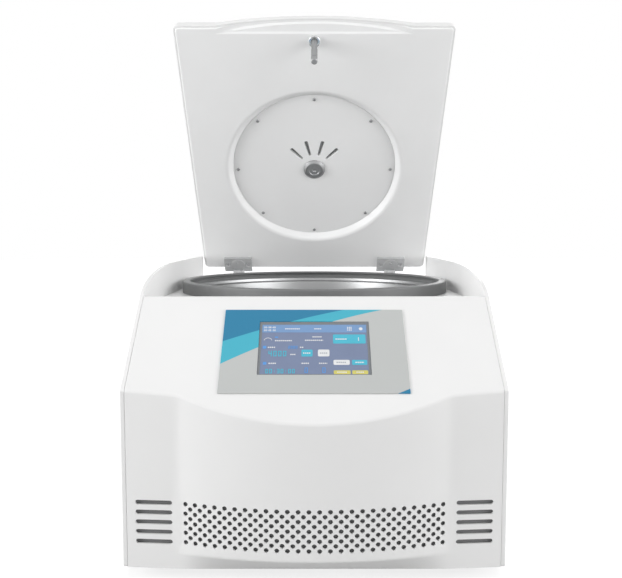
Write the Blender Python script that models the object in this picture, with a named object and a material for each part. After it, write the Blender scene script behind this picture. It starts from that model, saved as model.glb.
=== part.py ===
"""A high-speed bench centrifuge with its lid standing open, built as separate pieces.

Metres, +Z up. The front faces -Y, and the origin lies on the table under the middle of the housing.
Names in capitals are the driving sizes, or places worked out from them.
"""

import math

import bmesh
import bpy
from mathutils import Matrix, Vector

MM = 0.001

# Gaps and overruns
CLEAR = 0.3 * MM
OVERRUN = 1.5 * MM

# Fineness of round shapes, in sides
FINE_SIDES = 48
ROUND_SIDES = 24
SMALL_SIDES = 16
TINY_SIDES = 8
SHARP_ANGLE = math.radians(32)

# Housing
WIDTH = 400 * MM
FRONT_HEIGHT = 183 * MM
SLOPE_RUN = 94 * MM
SLOPE_RISE = 93 * MM
DECK_DROP = 10 * MM
CHEEK_RISE = 32 * MM
CHEEK_RUN = 206 * MM
CHEEK_PULL = 31 * MM
CHEEK_SET_BACK = 8 * MM
CHEEK_ROUND = 5 * MM
CHEEK_STEPS = 12
SIDE_WALL = 6 * MM
SIDE_EDGE = 1.2 * MM
SIDE_SWEEP = 4 * MM
FRONT_WALL = 2.5 * MM
LIP_WIDTH = 3 * MM
BASE_WALL = 3 * MM
DECK_WALL = 2.5 * MM
REAR_WALL = 2 * MM
REAR_INSET = 5 * MM

# Rubber feet
FOOT_HEIGHT = 12 * MM
FOOT_RADIUS = 18 * MM
FOOT_NECK = 14 * MM
FOOT_EDGE = 2 * MM
FOOT_STUD = 4 * MM
FOOT_INSET = 48 * MM

# Bulge of the front face, with its round holes, and the slots beside it
BULGE_DEPTH = 24 * MM
BULGE_HALF_CHORD = 140 * MM
BULGE_FOOT = 17.5 * MM
BULGE_STEPS = 16
HOLE_RADIUS = 2.55 * MM
HOLE_SIDES = 6
HOLE_PITCH = 10.8 * MM
HOLE_ROWS = 9
HOLE_ROW_STEP = 5.06 * MM
HOLE_TOP_ROW = 70 * MM
HOLE_END_MARGIN = 7.5 * MM
SLOT_ROWS = 5
SLOT_ROW_STEP = 10.4 * MM
SLOT_TOP_ROW = 71 * MM
SLOT_HEIGHT = 4.9 * MM
SLOT_INNER_MARGIN = 7 * MM
SLOT_OUTER_MARGIN = 8 * MM

# Chamber, its seal and the steel ring round it
SEAL_SIDE_GAP = 6.5 * MM
SEAL_WIDTH = 10.7 * MM
SEAL_HEIGHT = 17 * MM
SEAL_BAND = 10.5 * MM
SEAL_GROOVE_DEPTH = 4 * MM
SEAL_GROOVE_WIDTH = 3.4 * MM
SEAL_INNER_CORNER = 2.2 * MM
SEAL_OUTER_CORNER = 5 * MM
SEAL_ARC_STEPS = 3
LATCH_STRIP = 27.5 * MM
HINGE_STRIP = 23.5 * MM
HINGE_INSET = 16 * MM
BOWL_RIM = 19 * MM
BOWL_WALL = 1.5 * MM
BOWL_LIP = 4.7 * MM
BOWL_DEPTH = 130 * MM
BOWL_CORNER = 22 * MM
BOWL_CORNER_STEPS = 4
BOWL_HOLE = 24 * MM
GUARD_GAP = 4 * MM
GUARD_WALL = 11 * MM
GUARD_HEIGHT = 110 * MM

# Motor and its mounts
MOUNT_RADIUS = 11 * MM
MOUNT_WAIST = 8.5 * MM
MOUNT_HEIGHT = 22 * MM
MOUNT_REACH = 60 * MM
MOTOR_PLATE = 6 * MM
MOTOR_PLATE_HALF = 76 * MM
MOTOR_PLATE_CORNER = 10 * MM
MOTOR_RADIUS = 48 * MM
MOTOR_RIB = 4 * MM
MOTOR_RIBS = 3
MOTOR_RIB_WIDTH = 7 * MM
MOTOR_BORE = 30 * MM
BOOT_HEIGHT = 18 * MM
BOOT_RADIUS = 34 * MM
BOOT_WAIST = 28 * MM
BOOT_BORE = 12 * MM

# Rotor, its spindle and its nut
SPINDLE_RADIUS = 8 * MM
SPINDLE_COLLAR = 14 * MM
SPINDLE_COLLAR_HEIGHT = 5 * MM
SPINDLE_THREAD = 4.5 * MM
SPINDLE_THREAD_LENGTH = 10 * MM
ROTOR_LIFT = 13 * MM
ROTOR_DROP = 16 * MM
ROTOR_RADIUS = 116 * MM
ROTOR_BAND = 16 * MM
ROTOR_TOP_RADIUS = 78 * MM
ROTOR_DISH_RADIUS = 26 * MM
ROTOR_DISH_DEPTH = 6 * MM
POCKETS = 6
POCKET_RADIUS = 15 * MM
POCKET_DEPTH = 78 * MM
POCKET_CIRCLE = 54 * MM
POCKET_TILT = math.radians(26)
NUT_RADIUS = 16 * MM
NUT_HEIGHT = 17 * MM
NUT_SIDES = 12
NUT_EDGE = 2 * MM

# Lid
LID_OPEN = math.radians(52)
LID_SEAL_GAP = 0.4 * MM
LID_SIDE_GAP = 4 * MM
LID_BACK_GAP = 8.5 * MM
LID_OVERHANG = 7 * MM
LID_THICK = 26 * MM
LID_WALL = 3 * MM
LID_CORNER = 7 * MM
LID_CORNER_LEAST = 1 * MM
LID_CORNER_STEPS = 4
LID_EDGE = 17 * MM
LID_EDGE_STEPS = 5
LID_RIM_EDGE = 0.8 * MM
LID_LIP = 9 * MM
LID_LIP_HALF_CHORD = 133 * MM
LID_LIP_STEPS = 14
SCOOP_DEPTH = 5 * MM
SCOOP_WALL = 2 * MM
SCOOP_BOW = 14.2 * MM
SCOOP_HALF_CHORD = 134 * MM
SCOOP_SET_BACK = 10.8 * MM
SCOOP_STEPS = 12
LINER_RADIUS = 123.5 * MM
LINER_WALL = 3 * MM
LINER_SHIFT = 7 * MM
RECESS_MARGIN = 1 * MM
RECESS_DEPTH = 12.5 * MM
RECESS_FLARE = 10.5 * MM
ARMOUR_WALL = 3 * MM
ARMOUR_MARGIN = 14 * MM
LINER_SLOT_START = 27.5 * MM
LINER_SLOT_END = 51 * MM
LINER_SLOT_NARROW = 3.6 * MM
LINER_SLOT_WIDE = 5.9 * MM
LINER_SLOT_ANGLES = [math.radians(angle) for angle in (-43.5, -14.5, 14.5, 43.5)]
SCREWS = 8
SCREW_CIRCLE = 118.3 * MM
SCREW_HEAD = 3 * MM
SCREW_HEAD_HEIGHT = 1.8 * MM
SCREW_SHANK = 1.5 * MM
SCREW_LENGTH = 4.8 * MM
SCREW_EDGE = 0.6 * MM
BOSS_RADIUS = 16.5 * MM
BOSS_TIP = 12.5 * MM
BOSS_STEP = 1.5 * MM
BOSS_HEIGHT = 4 * MM
BOSS_SPIGOT = 6 * MM

# Lid latch
STRIKER_SET_BACK = 13.5 * MM
STRIKER_RADIUS = 4.2 * MM
STRIKER_LENGTH = 64 * MM
STRIKER_NECK = 2.8 * MM
STRIKER_NECK_HEIGHT = 5 * MM
STRIKER_TIP = 6 * MM
STRIKER_POINT = 2.5 * MM
STRIKER_HOLD = 4 * MM
FLANGE_RADIUS = 8.25 * MM
FLANGE_HEIGHT = 2.5 * MM
LATCH_HOLE_GAP = 0.8 * MM
STRIKER_WELL = 1 * MM
LOCK_ARM = 46 * MM
LOCK_WALL = 5 * MM
LOCK_FRONT_WALL = 2 * MM
BOLT_THICK = 3 * MM
BOLT_GAP = 0.5 * MM
BOLT_FORK_GAP = 0.5 * MM
BOLT_TINE = 3.6 * MM
BOLT_FORK_LENGTH = 10 * MM
BOLT_REST_GAP = 1.6 * MM
BOLT_LENGTH = 34 * MM
BOLT_ROD = 3.2 * MM
SOLENOID_LENGTH = 34 * MM
SOLENOID_HALF = 12 * MM

# Lid hinges
HINGE_ACROSS = 131.5 * MM
HINGE_WIDTH = 47 * MM
HINGE_DROP = 3.5 * MM
HINGE_BARREL = 6.5 * MM
HINGE_PIN = 2.5 * MM
HINGE_END_KNUCKLE = 11 * MM
HINGE_KNUCKLE_GAP = 0.5 * MM
HINGE_LEAF = 4.5 * MM
HINGE_LEAF_REACH = 33 * MM
HINGE_LEAF_GAP = 1 * MM
HINGE_EDGE = 0.8 * MM

# Control panel on the slope
LABEL_WIDTH = 197 * MM
LABEL_HEIGHT = 110 * MM
LABEL_UP = 2 * MM
LABEL_CORNER = 3 * MM
LABEL_THICK = 0.8 * MM
SCREEN_WIDTH = 119.6 * MM
SCREEN_HEIGHT = 69.8 * MM
SCREEN_UP = 25 * MM
SCREEN_SINK = 0.3 * MM
DISPLAY_RIM = 6 * MM
DISPLAY_DEPTH = 9 * MM
BOARD_MARGIN = 14 * MM
BOARD_THICK = 1.6 * MM

# Rear panel and what it carries
FAN_SIZE = 92 * MM
FAN_DEPTH = 25 * MM
FAN_WALL = 2.5 * MM
FAN_AXLE = 2 * MM
FAN_HUB = 18 * MM
FAN_HUB_DEPTH = 16 * MM
FAN_STATOR = 3 * MM
FAN_STRUT = 4 * MM
FAN_BLADES = 7
FAN_BLADE_WALL = 2 * MM
FAN_BLADE_GAP = 2 * MM
FAN_BLADE_SINK = 2 * MM
FAN_BLADE_TILT = math.radians(40)
FAN_SIDE_MARGIN = 60 * MM
FAN_UP = 112 * MM
FAN_SLOT = 4 * MM
FAN_SLOT_STEP = 8 * MM
GRILLE_SLOTS = 8
GRILLE_STEP = 9 * MM
GRILLE_LENGTH = 70 * MM
GRILLE_SIDE_MARGIN = 71 * MM
GRILLE_UP = 165 * MM
FITTING_STEP = 50 * MM
INLET_UP = 44 * MM
INLET_HALF_WIDTH = 14 * MM
INLET_HALF_HEIGHT = 10 * MM
INLET_WALL = 1.8 * MM
INLET_DEPTH = 20 * MM
INLET_FLANGE = 7 * MM
INLET_FLANGE_THICK = 3 * MM
PIN_HALF_WIDTH = 1 * MM
PIN_HALF_HEIGHT = 2.2 * MM
PIN_STEP = 7 * MM
PIN_LIFT = 3 * MM
PIN_SINK = 6 * MM
SWITCH_UP = 88 * MM
SWITCH_HALF_WIDTH = 7 * MM
SWITCH_HALF_HEIGHT = 10 * MM
SWITCH_WALL = 1.5 * MM
SWITCH_DEPTH = 16 * MM
SWITCH_FLANGE = 2 * MM
SWITCH_FLANGE_THICK = 1.5 * MM
ROCKER_GAP = 0.8 * MM
ROCKER_AXIS_SINK = 1 * MM
ROCKER_RISE = 2.4 * MM
ROCKER_DIP = 0.8 * MM
ROCKER_ROOT = 7 * MM
ROCKER_TILT = math.radians(7)
FUSE_SIDE_MARGIN = 34 * MM
FUSE_UP = 44 * MM
FUSE_RADIUS = 7 * MM
FUSE_CAP = 9 * MM
FUSE_CAP_HEIGHT = 3.5 * MM
FUSE_SLOT = 1.5 * MM
FUSE_DEPTH = 26 * MM

# Power electronics on the base
DRIVE_PLATE_GAP = 22 * MM
DRIVE_DEPTH = 150 * MM
DRIVE_HEIGHT = 58 * MM
DRIVE_BODY = 30 * MM
DRIVE_FINS = 9
DRIVE_FIN = 3 * MM
DRIVE_SIDE_GAP = 12 * MM
SUPPLY_PLATE_GAP = 28 * MM
SUPPLY_DEPTH = 130 * MM
SUPPLY_HEIGHT = 46 * MM
SUPPLY_VENTS = 6
SUPPLY_VENT = 4 * MM
SUPPLY_VENT_STEP = 12 * MM
SUPPLY_VENT_DEPTH = 2 * MM

# Places worked out from the sizes
HALF_WIDTH = WIDTH / 2
INNER_X = HALF_WIDTH - SIDE_WALL
SEAL_RADIUS = INNER_X - SEAL_SIDE_GAP
BODY_DEPTH = SLOPE_RUN + LATCH_STRIP + 2 * SEAL_RADIUS + HINGE_STRIP + HINGE_INSET
FRONT_Y = (BULGE_DEPTH - BODY_DEPTH) / 2
REAR_Y = FRONT_Y + BODY_DEPTH
REAR_FACE_Y = REAR_Y - REAR_INSET
REAR_INNER_Y = REAR_FACE_Y - REAR_WALL
TOP_Y = FRONT_Y + SLOPE_RUN
CHAMBER_Y = TOP_Y + LATCH_STRIP + SEAL_RADIUS
HINGE_Y = REAR_Y - HINGE_INSET
FLOOR_Z = FOOT_HEIGHT
FLOOR_TOP_Z = FLOOR_Z + BASE_WALL
CREASE_Z = FLOOR_Z + FRONT_HEIGHT
TOP_Z = CREASE_Z + SLOPE_RISE
DECK_Z = TOP_Z - DECK_DROP
DECK_UNDER_Z = DECK_Z - DECK_WALL
CHEEK_Z = TOP_Z + CHEEK_RISE
SEAL_CREST_Z = DECK_Z + SEAL_HEIGHT
LID_FACE_Z = SEAL_CREST_Z + LID_SEAL_GAP
HINGE_Z = LID_FACE_Z - HINGE_DROP
STEEPNESS = SLOPE_RISE / SLOPE_RUN
SLOPE_ANGLE = math.atan(STEEPNESS)
BULGE_RADIUS = (BULGE_HALF_CHORD**2 + BULGE_DEPTH**2) / (2 * BULGE_DEPTH)
DECK_FRONT_Y = TOP_Y + LIP_WIDTH + CLEAR
STRIKER_Y = TOP_Y + STRIKER_SET_BACK
SEAL_INNER = SEAL_RADIUS - SEAL_WIDTH
RIM_RADIUS = SEAL_INNER - CLEAR
BOWL_RADIUS = RIM_RADIUS - BOWL_RIM
BOWL_OUTER = BOWL_RADIUS + BOWL_WALL
BOWL_FLOOR_Z = DECK_Z - BOWL_DEPTH
RECESS_RADIUS = LINER_RADIUS + RECESS_MARGIN
FAN_ACROSS = FAN_SIDE_MARGIN + FAN_SIZE / 2 - INNER_X
GRILLE_ACROSS = INNER_X - GRILLE_SIDE_MARGIN - GRILLE_LENGTH / 2
FUSE_ACROSS = INNER_X - FUSE_SIDE_MARGIN
FITTING_ACROSS = FUSE_ACROSS - FITTING_STEP
DRIVE_WIDTH = INNER_X - DRIVE_SIDE_GAP - DRIVE_PLATE_GAP - MOTOR_PLATE_HALF
SUPPLY_WIDTH = INNER_X - DRIVE_SIDE_GAP - SUPPLY_PLATE_GAP - MOTOR_PLATE_HALF

# Finishes: colour, roughness and metallic value
WHITE_PAINT = ((0.80, 0.80, 0.79), 0.42, 0.0)
LID_PLASTIC = ((0.74, 0.75, 0.75), 0.45, 0.0)
GREY_RUBBER = ((0.13, 0.13, 0.135), 0.6, 0.0)
BLACK_RUBBER = ((0.02, 0.02, 0.02), 0.75, 0.0)
BLACK_PLASTIC = ((0.03, 0.03, 0.03), 0.5, 0.0)
DARK_METAL = ((0.09, 0.09, 0.095), 0.45, 0.8)
STEEL = ((0.62, 0.62, 0.62), 0.28, 1.0)
CHROME = ((0.8, 0.8, 0.8), 0.1, 1.0)
RAW_STEEL = ((0.35, 0.35, 0.36), 0.5, 1.0)
CAST_METAL = ((0.3, 0.31, 0.32), 0.6, 0.7)
LABEL_FILM = ((0.6, 0.62, 0.61), 0.35, 0.0)
SCREEN_GLASS = ((0.2, 0.25, 0.38), 0.1, 0.0)
BOARD_GREEN = ((0.03, 0.16, 0.06), 0.5, 0.0)
ALUMINIUM = ((0.55, 0.56, 0.57), 0.4, 1.0)


# Shapes


def clear_scene():
    for old in list(bpy.data.objects):
        bpy.data.objects.remove(old, do_unlink=True)


def prism(outline, low, high, along="Z"):
    """A straight solid over an outline: (x, y) along Z, (y, z) along X or (x, z) along Y."""
    turn = {
        "Z": lambda a, b, level: (a, b, level),
        "X": lambda a, b, level: (level, a, b),
        "Y": lambda a, b, level: (a, level, b),
    }[along]
    bm = bmesh.new()
    bottom = [bm.verts.new(turn(a, b, low)) for a, b in outline]
    top = [bm.verts.new(turn(a, b, high)) for a, b in outline]
    bm.faces.new(bottom)
    bm.faces.new(top)
    for i, _ in enumerate(outline):
        j = (i + 1) % len(outline)
        bm.faces.new((bottom[i], bottom[j], top[j], top[i]))
    return bm


def rectangle(left, right, low, high):
    return [(left, low), (right, low), (right, high), (left, high)]


def block(x_range, y_range, z_range):
    return prism(rectangle(*x_range, *y_range), *z_range)


def arc(centre, radius, start, end, steps):
    """Points along an arc, both ends included; the angles run anticlockwise from the first axis."""
    angles = [start + (end - start) * i / steps for i in range(steps + 1)]
    return [(centre[0] + radius * math.cos(a), centre[1] + radius * math.sin(a)) for a in angles]


def circle(centre, radius, sides):
    return arc(centre, radius, 0, math.tau, sides)[:-1]


def rounded_rectangle(left, right, low, high, radius, steps=4):
    quarter = math.pi / 2
    corners = [(right - radius, high - radius), (left + radius, high - radius),
               (left + radius, low + radius), (right - radius, low + radius)]
    outline = []
    for i, corner in enumerate(corners):
        outline += arc(corner, radius, i * quarter, (i + 1) * quarter, steps)
    return outline


def turned(profile, sides, along="Z"):
    """A solid of revolution about an axis through the origin. The closed profile holds (radius, height)."""
    turn = {
        "Z": lambda a, b, level: (a, b, level),
        "X": lambda a, b, level: (level, a, b),
        "Y": lambda a, b, level: (a, level, b),
    }[along]
    bm = bmesh.new()
    rings = []
    for radius, height in profile:
        if radius <= 0:
            rings.append([bm.verts.new(turn(0, 0, height))])
        else:
            rings.append([bm.verts.new(turn(x, y, height)) for x, y in circle((0, 0), radius, sides)])
    for ring, following in zip(rings, rings[1:] + rings[:1]):
        for k in range(sides):
            here, ahead = k % len(ring), (k + 1) % len(ring)
            there, beyond = k % len(following), (k + 1) % len(following)
            corners = dict.fromkeys((ring[here], ring[ahead], following[beyond], following[there]))
            if len(corners) > 2:
                bm.faces.new(list(corners))
    return bm


def lofted(loops):
    """A solid through closed loops of points that match one to one, with flat ends."""
    bm = bmesh.new()
    rings = [[bm.verts.new(point) for point in loop] for loop in loops]
    for ring, following in zip(rings, rings[1:]):
        for i, _ in enumerate(ring):
            j = (i + 1) % len(ring)
            bm.faces.new((ring[i], ring[j], following[j], following[i]))
    bm.faces.new(rings[0])
    bm.faces.new(rings[-1])
    return bm


def moved(bm, place=(0, 0, 0), turn=0, axis="Z"):
    """The shape turned about an axis through the origin, and then moved."""
    matrix = Matrix.Translation(Vector(place)) @ Matrix.Rotation(turn, 4, axis)
    bmesh.ops.transform(bm, matrix=matrix, verts=bm.verts)
    return bm


def together(shapes):
    """Separate shapes held in one mesh, for a cut or a join."""
    whole = bmesh.new()
    for shape in shapes:
        mesh = bpy.data.meshes.new("shape")
        shape.to_mesh(mesh)
        shape.free()
        whole.from_mesh(mesh)
        bpy.data.meshes.remove(mesh)
    return whole


def parallel(line, distance):
    """An open line of points moved sideways by a distance, to the right of its direction."""
    points = [Vector(point) for point in line]
    normals = []
    for start, end in zip(points, points[1:]):
        step = (end - start).normalized()
        normals.append(Vector((step.y, -step.x)))
    moved_points = []
    for i, point in enumerate(points):
        before = normals[max(i - 1, 0)]
        after = normals[min(i, len(normals) - 1)]
        moved_points.append(point + (before + after) * distance / (1 + before.dot(after)))
    return [tuple(point) for point in moved_points]


# Objects


def finish(name, look):
    colour, roughness, metallic = look
    material = bpy.data.materials.new(name + "_finish")
    material.use_nodes = True
    shader = material.node_tree.nodes["Principled BSDF"]
    shader.inputs["Base Color"].default_value = (*colour, 1.0)
    shader.inputs["Roughness"].default_value = roughness
    shader.inputs["Metallic"].default_value = metallic
    return material


def new_object(name, bm, place, parent, tilt=0):
    bmesh.ops.recalc_face_normals(bm, faces=bm.faces)
    mesh = bpy.data.meshes.new(name)
    bm.to_mesh(mesh)
    bm.free()
    mesh.shade_smooth()
    mesh.set_sharp_from_angle(angle=SHARP_ANGLE)
    obj = bpy.data.objects.new(name, mesh)
    obj.location = place
    obj.rotation_euler = (tilt, 0, 0)
    obj.parent = parent
    bpy.context.scene.collection.objects.link(obj)
    return obj


def piece(name, bm, look, place=(0, 0, 0), parent=None, tilt=0):
    """A named piece with its own finish. Its place is in its parent's frame."""
    obj = new_object(name, bm, place, parent, tilt)
    obj.data.materials.append(finish(name, look))
    return obj


def combine(target, bm, operation):
    """Adds a Boolean whose guide shape is given in the target's own frame."""
    name = f"{target.name}_guide_{len(target.modifiers)}"
    guide = new_object(name, bm, target.location, target.parent, target.rotation_euler.x)
    guide.hide_render = True
    guide.display_type = "WIRE"
    modifier = target.modifiers.new(name, "BOOLEAN")
    modifier.operation = operation
    modifier.object = guide
    modifier.solver = "EXACT"


def cut(target, bm):
    combine(target, bm, "DIFFERENCE")


def join(target, bm):
    combine(target, bm, "UNION")


def soften(target, width, segments=2):
    """Rounds the sharp edges that the piece has so far."""
    modifier = target.modifiers.new("soft_edges", "BEVEL")
    modifier.limit_method = "ANGLE"
    modifier.angle_limit = SHARP_ANGLE
    modifier.width = width
    modifier.segments = segments


def joint_empty(name, place, tilt=0, parent=None):
    empty = bpy.data.objects.new(name, None)
    empty.location = place
    empty.rotation_euler = (tilt, 0, 0)
    empty.parent = parent
    bpy.context.scene.collection.objects.link(empty)
    return empty


# Housing


def bulge_at(x):
    """How far the front face stands out at a distance from the middle."""
    if abs(x) >= BULGE_HALF_CHORD:
        return 0
    return math.sqrt(BULGE_RADIUS**2 - x**2) - (BULGE_RADIUS - BULGE_DEPTH)


def sweep_at(x):
    """How far the face beside the bulge is set back."""
    beyond = max(abs(x) - BULGE_HALF_CHORD, 0)
    return SIDE_SWEEP * beyond / (INNER_X - BULGE_HALF_CHORD)


def front_loop(x):
    """The front panel's section at x: upright face, slope, top edge and the flange behind it."""
    face_y = FRONT_Y + sweep_at(x) - bulge_at(x)
    flange_y = TOP_Y + LIP_WIDTH
    outer = [
        (FRONT_Y + sweep_at(x), FLOOR_Z),
        (face_y, FLOOR_Z + BULGE_FOOT),
        (face_y, CREASE_Z + (face_y - FRONT_Y) * STEEPNESS),
        (TOP_Y, TOP_Z),
        (flange_y, TOP_Z),
        (flange_y, DECK_UNDER_Z),
    ]
    inner = parallel(outer, FRONT_WALL)
    inner_flange_y = flange_y - FRONT_WALL
    slope_z = inner[2][1] + (inner_flange_y - inner[2][0]) * STEEPNESS
    inner = inner[:3] + [(inner_flange_y, slope_z), (inner_flange_y, DECK_UNDER_Z)]
    return [(x, y, z) for y, z in outer + inner[::-1]]


def front_columns():
    """Where the front panel's sections stand, closer together over the bulge."""
    edge = INNER_X - CLEAR
    half_angle = math.asin(BULGE_HALF_CHORD / BULGE_RADIUS)
    angles = [half_angle * (2 * i / BULGE_STEPS - 1) for i in range(BULGE_STEPS + 1)]
    return [-edge] + [BULGE_RADIUS * math.sin(angle) for angle in angles] + [edge]


def hole_tool(angle, z):
    """A six-sided punch that stands square to the bulge."""
    reach = BULGE_RADIUS + OVERRUN
    root = BULGE_RADIUS - FRONT_WALL - OVERRUN
    punch = turned([(0, -reach), (HOLE_RADIUS, -reach), (HOLE_RADIUS, -root), (0, -root)], HOLE_SIDES, "Y")
    centre_y = FRONT_Y + BULGE_RADIUS - BULGE_DEPTH
    return moved(punch, (0, centre_y, z), angle)


def hole_tools():
    half_angle = math.asin(BULGE_HALF_CHORD / BULGE_RADIUS)
    room = 2 * (half_angle * BULGE_RADIUS - HOLE_END_MARGIN)
    most = int(room / HOLE_PITCH) + 1
    tools = []
    for row in range(HOLE_ROWS):
        count = most - row % 2
        z = FLOOR_Z + HOLE_TOP_ROW - row * HOLE_ROW_STEP
        for i in range(count):
            along = (i - (count - 1) / 2) * HOLE_PITCH
            tools.append(hole_tool(along / BULGE_RADIUS, z))
    return tools


def slot_tools():
    near = BULGE_HALF_CHORD + SLOT_INNER_MARGIN
    far = INNER_X - SLOT_OUTER_MARGIN
    depth = (FRONT_Y - OVERRUN, FRONT_Y + SIDE_SWEEP + FRONT_WALL + OVERRUN)
    tools = []
    for row in range(SLOT_ROWS):
        middle = FLOOR_Z + SLOT_TOP_ROW - row * SLOT_ROW_STEP
        height = (middle - SLOT_HEIGHT / 2, middle + SLOT_HEIGHT / 2)
        tools.append(block((near, far), depth, height))
        tools.append(block((-far, -near), depth, height))
    return tools


def add_front_panel():
    panel = piece("front_panel", lofted([front_loop(x) for x in front_columns()]), WHITE_PAINT)
    cut(panel, together(hole_tools()))
    cut(panel, together(slot_tools()))
    half = SCREEN_WIDTH / 2 + CLEAR
    window = block((-half, half), (SCREEN_UP - CLEAR, SCREEN_UP + SCREEN_HEIGHT + CLEAR),
                   (-FRONT_WALL - OVERRUN, OVERRUN))
    cut(panel, moved(window, (0, FRONT_Y, CREASE_Z), SLOPE_ANGLE, "X"))


def cheek_curve():
    """The side panel's top edge, rising from the slope and running level to the back."""
    start = Vector((TOP_Y, TOP_Z))
    pull = Vector((TOP_Y + CHEEK_PULL, CHEEK_Z))
    end = Vector((TOP_Y + CHEEK_RUN, CHEEK_Z))
    points = []
    for i in range(CHEEK_STEPS + 1):
        t = i / CHEEK_STEPS
        points.append(tuple(start * (1 - t) ** 2 + pull * (2 * t * (1 - t)) + end * t**2))
    return points


def side_outline():
    front = FRONT_Y + SIDE_SWEEP
    back = REAR_Y - CHEEK_SET_BACK
    corner = (back - CHEEK_ROUND, CHEEK_Z - CHEEK_ROUND)
    outline = [(front, FLOOR_Z), (front, CREASE_Z + SIDE_SWEEP * STEEPNESS)]
    outline += cheek_curve()
    outline += arc(corner, CHEEK_ROUND, math.pi / 2, 0, 3)
    outline += [(back, DECK_Z), (REAR_Y, DECK_Z), (REAR_Y, FLOOR_Z)]
    return outline


def add_side_panels():
    for name, side in (("left", -1), ("right", 1)):
        near, far = sorted((side * INNER_X, side * HALF_WIDTH))
        panel = piece(f"side_panel_{name}", prism(side_outline(), near, far, "X"), WHITE_PAINT)
        soften(panel, SIDE_EDGE, 1)


def add_base():
    edge = INNER_X - CLEAR
    front = FRONT_Y + SIDE_SWEEP + FRONT_WALL + CLEAR
    plate = piece("base_plate", block((-edge, edge), (front, REAR_INNER_Y - CLEAR), (FLOOR_Z, FLOOR_TOP_Z)),
                  RAW_STEEL)
    for x, y in foot_places():
        hole = turned([(0, -OVERRUN), (FOOT_STUD + CLEAR, -OVERRUN), (FOOT_STUD + CLEAR, BASE_WALL + OVERRUN),
                       (0, BASE_WALL + OVERRUN)], SMALL_SIDES)
        cut(plate, moved(hole, (x, y, FLOOR_Z)))


def foot_places():
    x = HALF_WIDTH - FOOT_INSET
    return [(-x, FRONT_Y + FOOT_INSET), (x, FRONT_Y + FOOT_INSET), (-x, REAR_Y - FOOT_INSET),
            (x, REAR_Y - FOOT_INSET)]


def add_feet():
    names = ("foot_front_left", "foot_front_right", "foot_rear_left", "foot_rear_right")
    for name, (x, y) in zip(names, foot_places()):
        profile = [(0, 0), (FOOT_RADIUS - FOOT_EDGE, 0), (FOOT_RADIUS, FOOT_EDGE),
                   (FOOT_NECK, FOOT_HEIGHT - CLEAR), (FOOT_STUD, FOOT_HEIGHT - CLEAR),
                   (FOOT_STUD, FOOT_HEIGHT + BASE_WALL), (0, FOOT_HEIGHT + BASE_WALL)]
        piece(name, turned(profile, SMALL_SIDES), BLACK_RUBBER, (x, y, 0))


def latch_hole_range():
    """The latch hole's front and back edges. The tip passes the deck further forward than it comes to lie."""
    reach = HINGE_Y - STRIKER_Y
    tip_reach = math.hypot(reach, HINGE_DROP - STRIKER_LENGTH)
    swing = math.sqrt(tip_reach**2 - (HINGE_Z - DECK_Z)**2) - reach
    return (STRIKER_Y - STRIKER_RADIUS - swing - LATCH_HOLE_GAP,
            STRIKER_Y + STRIKER_RADIUS + LATCH_HOLE_GAP)


def latch_hole(low, high):
    half = STRIKER_RADIUS + LATCH_HOLE_GAP
    front, back = latch_hole_range()
    return block((-half, half), (front, back), (low, high))


def add_deck():
    edge = INNER_X - CLEAR
    plate = block((-edge, edge), (DECK_FRONT_Y, REAR_Y), (DECK_UNDER_Z, DECK_Z))
    deck = piece("top_deck", plate, WHITE_PAINT)
    radius = BOWL_OUTER + CLEAR
    hole = turned([(0, DECK_UNDER_Z - OVERRUN), (radius, DECK_UNDER_Z - OVERRUN), (radius, DECK_Z + OVERRUN),
                   (0, DECK_Z + OVERRUN)], FINE_SIDES)
    cut(deck, moved(hole, (0, CHAMBER_Y, 0)))
    cut(deck, latch_hole(DECK_UNDER_Z - OVERRUN, DECK_Z + OVERRUN))


def fan_bore():
    return FAN_SIZE / 2 - FAN_WALL


def fan_slots(depth):
    """Finger-safe slots over the fan, each as long as the fan's circle is wide there."""
    radius = fan_bore() - FAN_SLOT
    rows = int(radius / FAN_SLOT_STEP)
    slots = []
    for row in range(-rows, rows + 1):
        z = row * FAN_SLOT_STEP
        half = math.sqrt(radius**2 - z**2)
        low, high = FAN_UP + z - FAN_SLOT / 2, FAN_UP + z + FAN_SLOT / 2
        slots.append(block((FAN_ACROSS - half, FAN_ACROSS + half), depth, (FLOOR_Z + low, FLOOR_Z + high)))
    return slots


def grille_slots(depth):
    slots = []
    for row in range(GRILLE_SLOTS):
        low = FLOOR_Z + GRILLE_UP + row * GRILLE_STEP
        width = (GRILLE_ACROSS - GRILLE_LENGTH / 2, GRILLE_ACROSS + GRILLE_LENGTH / 2)
        slots.append(block(width, depth, (low, low + FAN_SLOT)))
    return slots


def add_rear_panel():
    edge = INNER_X - CLEAR
    top = DECK_UNDER_Z - CLEAR
    plate = block((-edge, edge), (REAR_INNER_Y, REAR_FACE_Y), (FLOOR_Z, top))
    panel = piece("rear_panel", plate, WHITE_PAINT)
    depth = (REAR_INNER_Y - OVERRUN, REAR_FACE_Y + OVERRUN)
    cut(panel, together(fan_slots(depth) + grille_slots(depth)))
    openings = [
        (FITTING_ACROSS, INLET_UP, INLET_HALF_WIDTH, INLET_HALF_HEIGHT),
        (FITTING_ACROSS, SWITCH_UP, SWITCH_HALF_WIDTH, SWITCH_HALF_HEIGHT),
        (FUSE_ACROSS, FUSE_UP, FUSE_RADIUS, FUSE_RADIUS),
    ]
    holes = []
    for x, up, half_width, half_height in openings:
        wide, tall = half_width + CLEAR, half_height + CLEAR
        z = FLOOR_Z + up
        holes.append(block((x - wide, x + wide), depth, (z - tall, z + tall)))
    cut(panel, together(holes))


# Chamber


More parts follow.
